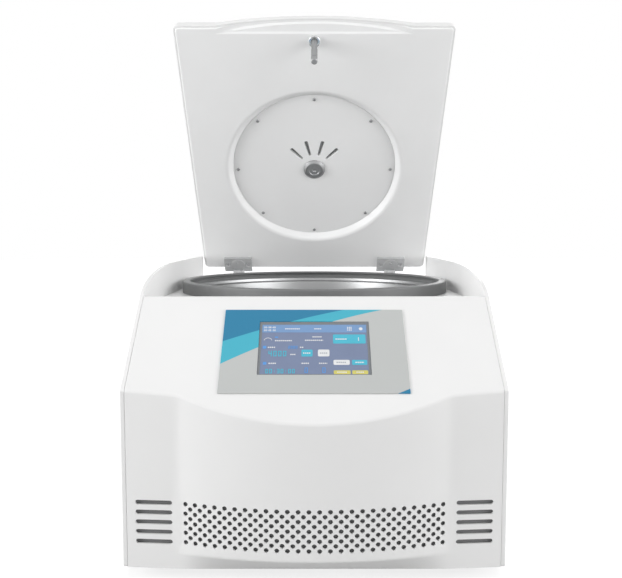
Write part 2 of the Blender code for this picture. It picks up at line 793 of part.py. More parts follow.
def add_bowl():
    under = BOWL_FLOOR_Z - BOWL_WALL
    rim_low = DECK_Z + CLEAR
    rim_top = rim_low + BOWL_WALL
    corner = (BOWL_RADIUS - BOWL_CORNER, BOWL_FLOOR_Z + BOWL_CORNER)
    lip_top = rim_top + BOWL_LIP
    lip_inner = RIM_RADIUS - BOWL_WALL
    profile = [(BOWL_RADIUS, rim_top), (lip_inner, rim_top), (lip_inner, lip_top), (RIM_RADIUS, lip_top),
               (RIM_RADIUS, rim_low), (BOWL_OUTER, rim_low)]
    profile += arc(corner, BOWL_CORNER + BOWL_WALL, 0, -math.pi / 2, BOWL_CORNER_STEPS)
    profile += [(BOWL_HOLE, under), (BOWL_HOLE, BOWL_FLOOR_Z)]
    profile += arc(corner, BOWL_CORNER, -math.pi / 2, 0, BOWL_CORNER_STEPS)
    piece("chamber_bowl", turned(profile, FINE_SIDES), STEEL, (0, CHAMBER_Y, 0))


def add_seal():
    low = DECK_Z + CLEAR
    inner_corner = (SEAL_INNER + SEAL_INNER_CORNER, SEAL_CREST_Z - SEAL_INNER_CORNER)
    outer_corner = (SEAL_RADIUS - SEAL_OUTER_CORNER, SEAL_CREST_Z - SEAL_OUTER_CORNER)
    band_top = low + SEAL_BAND
    groove_top = band_top + SEAL_GROOVE_WIDTH
    groove = SEAL_INNER + SEAL_GROOVE_DEPTH
    profile = [(SEAL_RADIUS, low), (SEAL_INNER, low), (SEAL_INNER, band_top), (groove, band_top),
               (groove, groove_top), (SEAL_INNER, groove_top)]
    profile += arc(inner_corner, SEAL_INNER_CORNER, math.pi, math.pi / 2, SEAL_ARC_STEPS)
    profile += arc(outer_corner, SEAL_OUTER_CORNER, math.pi / 2, 0, SEAL_ARC_STEPS)
    piece("chamber_seal", turned(profile, FINE_SIDES), GREY_RUBBER, (0, CHAMBER_Y, 0))


def add_guard_ring():
    inner = BOWL_OUTER + GUARD_GAP
    outer = inner + GUARD_WALL
    top = DECK_UNDER_Z - CLEAR
    low = top - GUARD_HEIGHT
    profile = [(inner, low), (outer, low), (outer, top), (inner, top)]
    piece("guard_ring", turned(profile, ROUND_SIDES), RAW_STEEL, (0, CHAMBER_Y, 0))


# Drive


MOUNT_LOW_Z = FLOOR_TOP_Z + CLEAR
PLATE_LOW_Z = MOUNT_LOW_Z + MOUNT_HEIGHT + CLEAR
MOTOR_LOW_Z = PLATE_LOW_Z + MOTOR_PLATE + CLEAR
BOOT_TOP_Z = BOWL_FLOOR_Z - BOWL_WALL - CLEAR
BOOT_LOW_Z = BOOT_TOP_Z - BOOT_HEIGHT
MOTOR_TOP_Z = BOOT_LOW_Z - CLEAR
ROTOR_LOW_Z = BOWL_FLOOR_Z + ROTOR_LIFT
ROTOR_TOP_Z = DECK_Z - ROTOR_DROP
ROTOR_DISH_Z = ROTOR_TOP_Z - ROTOR_DISH_DEPTH


def add_motor():
    places = [(-MOUNT_REACH, -MOUNT_REACH), (MOUNT_REACH, -MOUNT_REACH), (-MOUNT_REACH, MOUNT_REACH),
              (MOUNT_REACH, MOUNT_REACH)]
    names = ("front_left", "front_right", "rear_left", "rear_right")
    for name, (x, y) in zip(names, places):
        profile = [(0, 0), (MOUNT_RADIUS, 0), (MOUNT_WAIST, MOUNT_HEIGHT / 2), (MOUNT_RADIUS, MOUNT_HEIGHT),
                   (0, MOUNT_HEIGHT)]
        piece(f"motor_mount_{name}", turned(profile, SMALL_SIDES), BLACK_RUBBER,
              (x, CHAMBER_Y + y, MOUNT_LOW_Z))
    half = MOTOR_PLATE_HALF
    outline = rounded_rectangle(-half, half, -half, half, MOTOR_PLATE_CORNER)
    piece("motor_plate", prism(outline, 0, MOTOR_PLATE), RAW_STEEL, (0, CHAMBER_Y, PLATE_LOW_Z))
    piece("motor_housing", turned(motor_profile(), ROUND_SIDES), CAST_METAL, (0, CHAMBER_Y, 0))


def motor_profile():
    """The motor's outline with its cooling ribs, and the bore that the spindle turns in."""
    step = (MOTOR_TOP_Z - MOTOR_LOW_Z) / (MOTOR_RIBS + 1)
    rib = MOTOR_RADIUS + MOTOR_RIB
    bore = SPINDLE_RADIUS + CLEAR
    profile = [(0, MOTOR_LOW_Z), (MOTOR_RADIUS, MOTOR_LOW_Z)]
    for i in range(MOTOR_RIBS):
        middle = MOTOR_LOW_Z + (i + 1) * step
        low, high = middle - MOTOR_RIB_WIDTH / 2, middle + MOTOR_RIB_WIDTH / 2
        profile += [(MOTOR_RADIUS, low), (rib, low), (rib, high), (MOTOR_RADIUS, high)]
    profile += [(MOTOR_RADIUS, MOTOR_TOP_Z), (bore, MOTOR_TOP_Z), (bore, MOTOR_TOP_Z - MOTOR_BORE),
                (0, MOTOR_TOP_Z - MOTOR_BORE)]
    return profile


def add_boot():
    third = BOOT_HEIGHT / 3
    profile = [(BOOT_BORE, BOOT_LOW_Z), (BOOT_RADIUS, BOOT_LOW_Z), (BOOT_WAIST, BOOT_LOW_Z + third),
               (BOOT_RADIUS, BOOT_TOP_Z - third), (BOOT_RADIUS, BOOT_TOP_Z), (BOOT_BORE, BOOT_TOP_Z)]
    piece("spindle_boot", turned(profile, ROUND_SIDES), BLACK_RUBBER, (0, CHAMBER_Y, 0))


def add_spindle(axis):
    bottom = MOTOR_TOP_Z - MOTOR_BORE + CLEAR
    collar_top = ROTOR_LOW_Z - CLEAR
    collar_low = collar_top - SPINDLE_COLLAR_HEIGHT
    shoulder = ROTOR_DISH_Z - CLEAR
    tip = shoulder + SPINDLE_THREAD_LENGTH
    profile = [(0, bottom), (SPINDLE_RADIUS, bottom), (SPINDLE_RADIUS, collar_low),
               (SPINDLE_COLLAR, collar_low), (SPINDLE_COLLAR, collar_top), (SPINDLE_RADIUS, collar_top),
               (SPINDLE_RADIUS, shoulder), (SPINDLE_THREAD, shoulder), (SPINDLE_THREAD, tip), (0, tip)]
    piece("drive_spindle", turned(profile, SMALL_SIDES), STEEL, parent=axis)


def pocket_tool(angle):
    punch = turned([(0, -POCKET_DEPTH), (POCKET_RADIUS, -POCKET_DEPTH), (POCKET_RADIUS, POCKET_RADIUS),
                    (0, POCKET_RADIUS)], SMALL_SIDES)
    leaning = moved(punch, (POCKET_CIRCLE, 0, 0), -POCKET_TILT, "Y")
    return moved(leaning, (0, 0, ROTOR_TOP_Z), angle)


def add_rotor(axis):
    bore = SPINDLE_RADIUS + CLEAR
    edge_low = ROTOR_LOW_Z + ROTOR_BAND
    profile = [(bore, ROTOR_LOW_Z), (ROTOR_RADIUS, ROTOR_LOW_Z), (ROTOR_RADIUS, edge_low),
               (ROTOR_TOP_RADIUS, ROTOR_TOP_Z), (ROTOR_DISH_RADIUS, ROTOR_TOP_Z),
               (ROTOR_DISH_RADIUS, ROTOR_DISH_Z), (bore, ROTOR_DISH_Z)]
    rotor = piece("rotor", turned(profile, ROUND_SIDES), ALUMINIUM, parent=axis)
    cut(rotor, together([pocket_tool(k * math.tau / POCKETS) for k in range(POCKETS)]))


def add_rotor_nut(axis):
    low = ROTOR_DISH_Z + CLEAR
    top = low + NUT_HEIGHT
    bore = SPINDLE_THREAD + CLEAR
    bore_top = ROTOR_DISH_Z + SPINDLE_THREAD_LENGTH + CLEAR
    profile = [(bore, low), (NUT_RADIUS, low), (NUT_RADIUS, top - NUT_EDGE), (NUT_RADIUS - NUT_EDGE, top),
               (0, top), (0, bore_top), (bore, bore_top)]
    piece("rotor_nut", turned(profile, NUT_SIDES), CHROME, parent=axis)


# Lid, in the frame of its hinge axis, as it lies when closed


LID_FACE = HINGE_DROP
LID_TOP = LID_FACE + LID_THICK
LID_HALF = INNER_X - LID_SIDE_GAP
LID_BACK = -LID_BACK_GAP
LID_FRONT = TOP_Y - LID_OVERHANG - HINGE_Y
LINER_Y = CHAMBER_Y - HINGE_Y + LINER_SHIFT
PANEL_TOP = LID_FACE + LID_WALL
LINER_TOP = LID_FACE + RECESS_DEPTH - CLEAR
LINER_LOW = LINER_TOP - LINER_WALL
STRIKER_BACK = STRIKER_Y - HINGE_Y
STRIKER_TIP_Z = LID_FACE - STRIKER_LENGTH
NECK_LOW_Z = STRIKER_TIP_Z + STRIKER_TIP


def lid_outline(inset):
    """The lid seen from above, with its bowed front lip, drawn in by an inset."""
    quarter = math.pi / 2
    half = LID_HALF - inset
    front = LID_FRONT + inset
    back = LID_BACK - inset
    corner = max(LID_CORNER - inset, LID_CORNER_LEAST)
    lip_radius = (LID_LIP_HALF_CHORD**2 + LID_LIP**2) / (2 * LID_LIP)
    lip_centre = LID_FRONT - LID_LIP + lip_radius
    half_angle = math.acos((lip_centre - front) / (lip_radius - inset))
    outline = arc((half - corner, back - corner), corner, 0, quarter, LID_CORNER_STEPS)
    outline += arc((corner - half, back - corner), corner, quarter, 2 * quarter, LID_CORNER_STEPS)
    outline += arc((corner - half, front + corner), corner, 2 * quarter, 3 * quarter, LID_CORNER_STEPS)
    outline += arc((0, lip_centre), lip_radius - inset, 3 * quarter - half_angle, 3 * quarter + half_angle,
                   LID_LIP_STEPS)
    outline += arc((half - corner, front + corner), corner, 3 * quarter, 4 * quarter, LID_CORNER_STEPS)
    return outline


def lid_loop(inset, z):
    return [(x, y, z) for x, y in lid_outline(inset)]


def edge_loops(inset):
    """The round edge of the lid's top, or a parallel edge inside it at an inset."""
    radius = LID_EDGE - inset
    loops = []
    for i in range(LID_EDGE_STEPS + 1):
        angle = math.pi / 2 * i / LID_EDGE_STEPS
        level = LID_TOP - LID_EDGE + radius * math.sin(angle)
        loops.append(lid_loop(LID_EDGE - radius * math.cos(angle), level))
    return loops


def add_lid_shell(hinge):
    rim = [lid_loop(LID_RIM_EDGE, LID_FACE), lid_loop(0, LID_FACE + LID_RIM_EDGE)]
    shell = piece("lid_shell", lofted(rim + edge_loops(0)), WHITE_PAINT, parent=hinge)
    cut(shell, lofted([lid_loop(LID_WALL, LID_FACE - OVERRUN)] + edge_loops(LID_WALL)))


def cylinder(radius, low, high, sides, place=(0, 0, 0), along="Z"):
    return moved(turned([(0, low), (radius, low), (radius, high), (0, high)], sides, along), place)


def scoop_outline(outset):
    """The lens between a straight edge and a bowed one, under the lid's lip."""
    radius = (SCOOP_HALF_CHORD**2 + SCOOP_BOW**2) / (2 * SCOOP_BOW)
    straight = LID_FRONT + SCOOP_SET_BACK
    centre = straight - SCOOP_BOW + radius
    reach = radius + outset
    half_angle = math.acos((centre - straight - outset) / reach)
    down = 3 * math.pi / 2
    return arc((0, centre), reach, down - half_angle, down + half_angle, SCOOP_STEPS)


def recess_line():
    """The round recess in section, from its flared mouth to the middle of its top."""
    top = LID_FACE + RECESS_DEPTH
    return [(RECESS_RADIUS + RECESS_FLARE, LID_FACE), (RECESS_RADIUS, LINER_LOW), (RECESS_RADIUS, top),
            (0, top)]


def screw_places():
    return circle((0, LINER_Y), SCREW_CIRCLE, SCREWS)


def screw_holes():
    return [cylinder(SCREW_SHANK + CLEAR, LINER_LOW - OVERRUN, LINER_TOP + LID_WALL + OVERRUN, TINY_SIDES,
                     (x, y, 0)) for x, y in screw_places()]


def add_lid_panel(hinge):
    panel = piece("lid_inner_panel", prism(lid_outline(LID_WALL + CLEAR), LID_FACE, PANEL_TOP), LID_PLASTIC,
                  parent=hinge)
    centre = (0, LINER_Y, 0)
    middle = (LID_FACE + PANEL_TOP) / 2
    inside = recess_line()
    outside = parallel(inside, LID_WALL)
    cup = [(0, middle), (outside[0][0], middle)] + outside
    join(panel, moved(turned(cup, FINE_SIDES), centre))
    join(panel, prism(scoop_outline(SCOOP_WALL), middle, LID_FACE + SCOOP_DEPTH + SCOOP_WALL))
    recess = [(0, LID_FACE - OVERRUN), (inside[0][0], LID_FACE - OVERRUN)] + inside
    cut(panel, moved(turned(recess, FINE_SIDES), centre))
    cut(panel, prism(scoop_outline(0), LID_FACE - OVERRUN, LID_FACE + SCOOP_DEPTH))
    striker_hole = cylinder(STRIKER_RADIUS + CLEAR, LID_FACE - OVERRUN, PANEL_TOP + OVERRUN, SMALL_SIDES,
                            (0, STRIKER_BACK, 0))
    cut(panel, together([striker_hole] + screw_holes()))


def add_armour_plate(hinge):
    low = LID_FACE + RECESS_DEPTH + LID_WALL + CLEAR
    half = LID_HALF - ARMOUR_MARGIN
    outline = rounded_rectangle(-half, half, LID_FRONT + ARMOUR_MARGIN, LID_BACK - ARMOUR_MARGIN, LID_CORNER)
    piece("lid_armour_plate", prism(outline, low, low + ARMOUR_WALL), RAW_STEEL, parent=hinge)


def liner_slot(angle):
    """A slot that widens outwards, on the front half of the liner disc."""
    near, far = LINER_SLOT_NARROW / 2, LINER_SLOT_WIDE / 2
    outline = [(-near, -LINER_SLOT_START), (near, -LINER_SLOT_START), (far, -LINER_SLOT_END),
               (-far, -LINER_SLOT_END)]
    return moved(prism(outline, LINER_LOW - OVERRUN, LINER_TOP + OVERRUN), (0, LINER_Y, 0), angle)


def add_liner(hinge):
    centre = (0, LINER_Y, 0)
    plate = cylinder(LINER_RADIUS, LINER_LOW, LINER_TOP, FINE_SIDES, centre)
    disc = piece("lid_liner_disc", plate, LID_PLASTIC, parent=hinge)
    centre_hole = cylinder(BOSS_SPIGOT + CLEAR, LINER_LOW - OVERRUN, LINER_TOP + OVERRUN, SMALL_SIDES, centre)
    cut(disc, together([centre_hole] + screw_holes() + [liner_slot(angle) for angle in LINER_SLOT_ANGLES]))
    seat = LINER_LOW - CLEAR
    for number, (x, y) in enumerate(screw_places(), 1):
        profile = [(0, seat - SCREW_HEAD_HEIGHT), (SCREW_HEAD - SCREW_EDGE, seat - SCREW_HEAD_HEIGHT),
                   (SCREW_HEAD, seat - SCREW_HEAD_HEIGHT + SCREW_EDGE), (SCREW_HEAD, seat),
                   (SCREW_SHANK, seat), (SCREW_SHANK, seat + SCREW_LENGTH), (0, seat + SCREW_LENGTH)]
        piece(f"liner_screw_{number}", turned(profile, TINY_SIDES), DARK_METAL, (x, y, 0), hinge)
    profile = [(0, LINER_TOP), (BOSS_SPIGOT, LINER_TOP), (BOSS_SPIGOT, seat), (BOSS_RADIUS, seat),
               (BOSS_RADIUS, seat - BOSS_STEP), (BOSS_TIP, seat - BOSS_HEIGHT), (0, seat - BOSS_HEIGHT)]
    piece("lid_boss", turned(profile, ROUND_SIDES), STEEL, centre, hinge)


def add_striker(hinge):
    place = (0, STRIKER_BACK, 0)
    top = PANEL_TOP + STRIKER_HOLD
    neck_top = NECK_LOW_Z + STRIKER_NECK_HEIGHT
    profile = [(0, top), (STRIKER_RADIUS, top), (STRIKER_RADIUS, neck_top), (STRIKER_NECK, neck_top),
               (STRIKER_NECK, NECK_LOW_Z), (STRIKER_RADIUS, NECK_LOW_Z),
               (STRIKER_RADIUS, STRIKER_TIP_Z + STRIKER_POINT),
               (STRIKER_RADIUS - STRIKER_POINT, STRIKER_TIP_Z), (0, STRIKER_TIP_Z)]
    piece("lid_striker", turned(profile, SMALL_SIDES), CHROME, place, hinge)
    seat = LID_FACE - CLEAR
    bore = STRIKER_RADIUS + CLEAR
    low = seat - FLANGE_HEIGHT
    ring = [(bore, seat), (FLANGE_RADIUS, seat), (FLANGE_RADIUS, low), (bore, low)]
    piece("striker_flange", turned(ring, ROUND_SIDES), CHROME, place, hinge)


# Latch


BOLT_MIDDLE_Z = HINGE_Z + NECK_LOW_Z + STRIKER_NECK_HEIGHT / 2
BOLT_HALF = STRIKER_NECK + BOLT_FORK_GAP + BOLT_TINE
BOLT_TIP_X = STRIKER_RADIUS + BOLT_REST_GAP
BOLT_TRAVEL = BOLT_TIP_X + BOLT_FORK_LENGTH - STRIKER_NECK - BOLT_FORK_GAP


def across_striker(half):
    return (STRIKER_Y - half, STRIKER_Y + half)


def around_bolt(half):
    return (BOLT_MIDDLE_Z - half, BOLT_MIDDLE_Z + half)


def add_lock():
    front, back = latch_hole_range()
    top = DECK_UNDER_Z - CLEAR
    well = HINGE_Z + STRIKER_TIP_Z - STRIKER_WELL
    channel_end = BOLT_TIP_X - BOLT_TRAVEL - BOLT_REST_GAP
    body = block((channel_end - LOCK_WALL, LOCK_ARM), (front - LOCK_FRONT_WALL, back + LOCK_WALL),
                 (well - LOCK_WALL, top))
    housing = piece("lock_housing", body, BLACK_PLASTIC)
    cut(housing, latch_hole(well, top + OVERRUN))
    cut(housing, block((channel_end, LOCK_ARM + OVERRUN), across_striker(BOLT_HALF + BOLT_GAP),
                       around_bolt(BOLT_THICK / 2 + BOLT_GAP)))
    near = LOCK_ARM + CLEAR
    solenoid = piece("lock_solenoid", block((near, near + SOLENOID_LENGTH), across_striker(SOLENOID_HALF),
                                            around_bolt(SOLENOID_HALF)), DARK_METAL)
    soften(solenoid, HINGE_EDGE, 1)
    rod_room = BOLT_ROD / 2 + BOLT_GAP
    cut(solenoid, block((near - OVERRUN, near + SOLENOID_LENGTH - LOCK_WALL), across_striker(rod_room),
                        around_bolt(rod_room)))


def add_latch_bolt():
    """The fork that slides round the striker's neck, with the rod that the solenoid pushes."""
    plate_end = BOLT_TIP_X + BOLT_LENGTH
    thick = around_bolt(BOLT_THICK / 2)
    slide = joint_empty("latch_slide_axis", (0, 0, 0))
    bolt = piece("latch_bolt", block((BOLT_TIP_X, plate_end), across_striker(BOLT_HALF), thick), STEEL,
                 parent=slide)
    fork = block((BOLT_TIP_X - OVERRUN, BOLT_TIP_X + BOLT_FORK_LENGTH),
                 across_striker(STRIKER_NECK + BOLT_FORK_GAP), around_bolt(BOLT_THICK))
    cut(bolt, fork)
    rod_end = LOCK_ARM + CLEAR + SOLENOID_LENGTH - LOCK_WALL - BOLT_REST_GAP
    join(bolt, block((plate_end - OVERRUN, rod_end), across_striker(BOLT_ROD / 2), around_bolt(BOLT_ROD / 2)))


# Hinges


def across_hinge(x, half):
    return (x - half, x + half)


def add_hinge_base(name, x):
    """The leaf on the deck, with a knuckle at each end and a bore for the pin."""
    low = DECK_Z + CLEAR
    back = HINGE_Y + HINGE_BARREL
    half = HINGE_WIDTH / 2
    base = piece(f"hinge_base_{name}", block(across_hinge(x, half), (HINGE_Y - HINGE_LEAF_REACH, back),
                                             (low, low + HINGE_LEAF)), DARK_METAL)
    knuckle = arc((HINGE_Y, HINGE_Z), HINGE_BARREL, 0, math.pi, TINY_SIDES)
    knuckle += [(HINGE_Y - HINGE_BARREL, low), (back, low)]
    ends = [prism(knuckle, x - half, x - half + HINGE_END_KNUCKLE, "X"),
            prism(knuckle, x + half - HINGE_END_KNUCKLE, x + half, "X")]
    join(base, together(ends))
    cut(base, cylinder(HINGE_PIN + CLEAR, -half - OVERRUN, half + OVERRUN, SMALL_SIDES, (x, HINGE_Y, HINGE_Z),
                       "X"))
    piece(f"hinge_pin_{name}", turned([(0, -half), (HINGE_PIN, -half), (HINGE_PIN, half), (0, half)],
                                      SMALL_SIDES, "X"), STEEL, (x, HINGE_Y, HINGE_Z))


def add_hinge_leaf(name, x, hinge):
    """The leaf under the lid, in the frame of the hinge axis, with the middle knuckle."""
    top = LID_FACE - CLEAR
    low = top - HINGE_LEAF
    back = -HINGE_BARREL - HINGE_LEAF_GAP
    half = HINGE_WIDTH / 2
    middle = half - HINGE_END_KNUCKLE - HINGE_KNUCKLE_GAP
    leaf = piece(f"hinge_leaf_{name}", block(across_hinge(x, half), (-HINGE_LEAF_REACH, back), (low, top)),
                 DARK_METAL, parent=hinge)
    join(leaf, block(across_hinge(x, middle), (back - OVERRUN, 0), (low, top)))
    join(leaf, cylinder(HINGE_BARREL, -middle, middle, SMALL_SIDES, (x, 0, 0), "X"))
    cut(leaf, cylinder(HINGE_PIN + CLEAR, -half, half, SMALL_SIDES, (x, 0, 0), "X"))


# Control panel, in the frame of the slope: x across, y up the slope, z out of it


def on_slope(name, bm, look):
    return piece(name, bm, look, (0, FRONT_Y, CREASE_Z), tilt=SLOPE_ANGLE)


def add_control_panel():
    half = LABEL_WIDTH / 2
    outline = rounded_rectangle(-half, half, LABEL_UP, LABEL_UP + LABEL_HEIGHT, LABEL_CORNER)
    label = on_slope("control_label", prism(outline, CLEAR, CLEAR + LABEL_THICK), LABEL_FILM)
    across = SCREEN_WIDTH / 2
    upward = (SCREEN_UP, SCREEN_UP + SCREEN_HEIGHT)
    wide = (-across - CLEAR, across + CLEAR)
    tall = (upward[0] - CLEAR, upward[1] + CLEAR)
    cut(label, block(wide, tall, (-OVERRUN, LABEL_THICK + OVERRUN)))
    rim_top = -FRONT_WALL - CLEAR
    rim_low = rim_top - DISPLAY_DEPTH
    display = on_slope("display_module", block((-across - DISPLAY_RIM, across + DISPLAY_RIM),
                                               (upward[0] - DISPLAY_RIM, upward[1] + DISPLAY_RIM),
                                               (rim_low, rim_top)), SCREEN_GLASS)
    join(display, block((-across, across), upward, ((rim_low + rim_top) / 2, LABEL_THICK - SCREEN_SINK)))
    board_top = rim_low - CLEAR
    on_slope("control_board", block((-across - BOARD_MARGIN, across + BOARD_MARGIN),
                                    (upward[0] - DISPLAY_RIM, upward[1] + DISPLAY_RIM),
                                    (board_top - BOARD_THICK, board_top)), BOARD_GREEN)


# Fan and rear fittings


FAN_BACK_Y = REAR_INNER_Y - CLEAR
FAN_FRONT_Y = FAN_BACK_Y - FAN_DEPTH
FAN_Z = FLOOR_Z + FAN_UP
IMPELLER_LOW_Y = FAN_FRONT_Y + FAN_STATOR + FAN_BLADE_SINK


def add_fan_frame():
    """A square frame with a round duct, and a hub on three struts that carries the axle."""
    half = FAN_SIZE / 2
    place = (FAN_ACROSS, 0, FAN_Z)
    outline = rounded_rectangle(-half, half, -half, half, FAN_STRUT)
    frame = piece("fan_frame", prism(outline, FAN_FRONT_Y, FAN_BACK_Y, "Y"), BLACK_PLASTIC, place)
    duct = cylinder(fan_bore(), FAN_FRONT_Y - OVERRUN, FAN_BACK_Y + OVERRUN, ROUND_SIDES, (0, 0, 0), "Y")
    cut(frame, duct)
    stator = (FAN_FRONT_Y, FAN_FRONT_Y + FAN_STATOR)
    reach = fan_bore() + FAN_WALL / 2
    bar = rectangle(0, reach, -FAN_STRUT / 2, FAN_STRUT / 2)
    for k in range(3):
        join(frame, moved(prism(bar, *stator, "Y"), (0, 0, 0), k * math.tau / 3, "Y"))
    axle_tip = IMPELLER_LOW_Y + FAN_HUB_DEPTH / 2
    hub = [(0, stator[0]), (FAN_HUB, stator[0]), (FAN_HUB, stator[1]), (FAN_AXLE, stator[1]),
           (FAN_AXLE, axle_tip), (0, axle_tip)]
    join(frame, turned(hub, SMALL_SIDES, "Y"))


def add_fan_impeller(axis):
    """The hub with its blades, about the Y axis through the fan's centre."""
    high = IMPELLER_LOW_Y + FAN_HUB_DEPTH
    bore = FAN_AXLE + CLEAR
    bore_end = IMPELLER_LOW_Y + FAN_HUB_DEPTH / 2 + CLEAR
    profile = [(bore, IMPELLER_LOW_Y), (FAN_HUB, IMPELLER_LOW_Y), (FAN_HUB, high), (0, high), (0, bore_end),
               (bore, bore_end)]
    impeller = piece("fan_impeller", turned(profile, SMALL_SIDES, "Y"), BLACK_PLASTIC, parent=axis)
    middle = (IMPELLER_LOW_Y + high) / 2
    chord = FAN_HUB_DEPTH / 2
    blades = []
    for k in range(FAN_BLADES):
        blade = block((FAN_HUB - FAN_BLADE_SINK, fan_bore() - FAN_BLADE_GAP), (-chord, chord),
                      (-FAN_BLADE_WALL / 2, FAN_BLADE_WALL / 2))
        pitched = moved(blade, (0, middle, 0), FAN_BLADE_TILT, "X")
        blades.append(moved(pitched, (0, 0, 0), k * math.tau / FAN_BLADES, "Y"))
    join(impeller, together(blades))


def add_power_inlet():
    """A recessed appliance inlet with three flat pins, its flange outside the rear panel."""
    x, z = FITTING_ACROSS, FLOOR_Z + INLET_UP
    wide, tall = INLET_HALF_WIDTH, INLET_HALF_HEIGHT
    flange_low = REAR_FACE_Y + CLEAR
    flange_top = flange_low + INLET_FLANGE_THICK
    back = REAR_FACE_Y - INLET_DEPTH
    inlet = piece("power_inlet", block((x - wide, x + wide), (back, flange_top), (z - tall, z + tall)),
                  BLACK_PLASTIC)
    join(inlet, block((x - wide - INLET_FLANGE, x + wide + INLET_FLANGE), (flange_low, flange_top),
                      (z - tall - INLET_WALL, z + tall + INLET_WALL)))
    floor_y = back + INLET_WALL
    cut(inlet, block((x - wide + INLET_WALL, x + wide - INLET_WALL), (floor_y, flange_top + OVERRUN),
                     (z - tall + INLET_WALL, z + tall - INLET_WALL)))
    pins = []
    for step, lift in ((-1, -1), (0, 1), (1, -1)):
        across = x + step * PIN_STEP
        up = z + lift * PIN_LIFT
        pins.append(block((across - PIN_HALF_WIDTH, across + PIN_HALF_WIDTH),
                          (floor_y - INLET_WALL / 2, flange_top - PIN_SINK),
                          (up - PIN_HALF_HEIGHT, up + PIN_HALF_HEIGHT)))
    join(inlet, together(pins))


ROCKER_Y = REAR_FACE_Y - ROCKER_AXIS_SINK
ROCKER_HALF = SWITCH_HALF_HEIGHT - SWITCH_WALL - ROCKER_GAP


def add_switch_bezel():
    x, z = FITTING_ACROSS, FLOOR_Z + SWITCH_UP
    wide, tall = SWITCH_HALF_WIDTH, SWITCH_HALF_HEIGHT
    flange_low = REAR_FACE_Y + CLEAR
    flange_top = flange_low + SWITCH_FLANGE_THICK
    back = REAR_FACE_Y - SWITCH_DEPTH
    bezel = piece("switch_bezel", block((x - wide, x + wide), (back, flange_top), (z - tall, z + tall)),
                  BLACK_PLASTIC)
    join(bezel, block((x - wide - SWITCH_FLANGE, x + wide + SWITCH_FLANGE), (flange_low, flange_top),
                      (z - tall - SWITCH_FLANGE, z + tall + SWITCH_FLANGE)))
    cut(bezel, block((x - wide + SWITCH_WALL, x + wide - SWITCH_WALL),
                     (back + SWITCH_WALL, flange_top + OVERRUN),
                     (z - tall + SWITCH_WALL, z + tall - SWITCH_WALL)))
    pivot = joint_empty("power_switch_axis", (x, ROCKER_Y, z), -ROCKER_TILT)
    half = ROCKER_HALF
    outline = [(-ROCKER_ROOT, -half / 2), (-ROCKER_ROOT, half / 2), (0, half), (ROCKER_RISE, half),
               (ROCKER_RISE - ROCKER_DIP, 0), (ROCKER_RISE, -half), (0, -half)]
    side = wide - SWITCH_WALL - CLEAR
    piece("switch_rocker", prism(outline, -side, side, "X"), BLACK_PLASTIC, parent=pivot)


def add_fuse_holder():
    """A round fuse carrier with a slotted cap."""
    low = REAR_FACE_Y + CLEAR
    top = low + FUSE_CAP_HEIGHT
    profile = [(0, REAR_FACE_Y - FUSE_DEPTH), (FUSE_RADIUS, REAR_FACE_Y - FUSE_DEPTH), (FUSE_RADIUS, low),
               (FUSE_CAP, low), (FUSE_CAP, top), (0, top)]
    place = (FUSE_ACROSS, 0, FLOOR_Z + FUSE_UP)
    holder = piece("fuse_holder", turned(profile, SMALL_SIDES, "Y"), BLACK_PLASTIC, place)
    cut(holder, block((-FUSE_RADIUS, FUSE_RADIUS), (top - FUSE_SLOT, top + OVERRUN),
                      (-FUSE_SLOT / 2, FUSE_SLOT / 2)))


# Electronics


def add_drive_inverter():
    """The motor drive: a box on the base with a comb of cooling fins on top."""
    right = -INNER_X + DRIVE_SIDE_GAP + DRIVE_WIDTH
    left = right - DRIVE_WIDTH
    low = FLOOR_TOP_Z + CLEAR
    step = (DRIVE_WIDTH - DRIVE_FIN) / (DRIVE_FINS - 1)
    outline = [(left, low)]
    for k in range(DRIVE_FINS):
        edge = left + k * step
        outline += [(edge, low + DRIVE_BODY), (edge, low + DRIVE_HEIGHT),
                    (edge + DRIVE_FIN, low + DRIVE_HEIGHT), (edge + DRIVE_FIN, low + DRIVE_BODY)]
    outline += [(right, low)]
    del outline[1]
    del outline[-2]
    front = CHAMBER_Y - DRIVE_DEPTH
    piece("drive_inverter", prism(outline, front, CHAMBER_Y, "Y"), ALUMINIUM)


def add_power_supply():
    left = INNER_X - DRIVE_SIDE_GAP - SUPPLY_WIDTH
    right = left + SUPPLY_WIDTH
    low = FLOOR_TOP_Z + CLEAR
    top = low + SUPPLY_HEIGHT
    front = CHAMBER_Y - SUPPLY_DEPTH
    box = piece("power_supply", block((left, right), (front, CHAMBER_Y), (low, top)), ALUMINIUM)
    grooves = []
    for k in range(SUPPLY_VENTS):
        near = front + (k + 1) * SUPPLY_VENT_STEP
        grooves.append(block((left + SUPPLY_VENT_STEP, right - SUPPLY_VENT_STEP), (near, near + SUPPLY_VENT),
                             (top - SUPPLY_VENT_DEPTH, top + OVERRUN)))
    cut(box, together(grooves))


# Whole machine


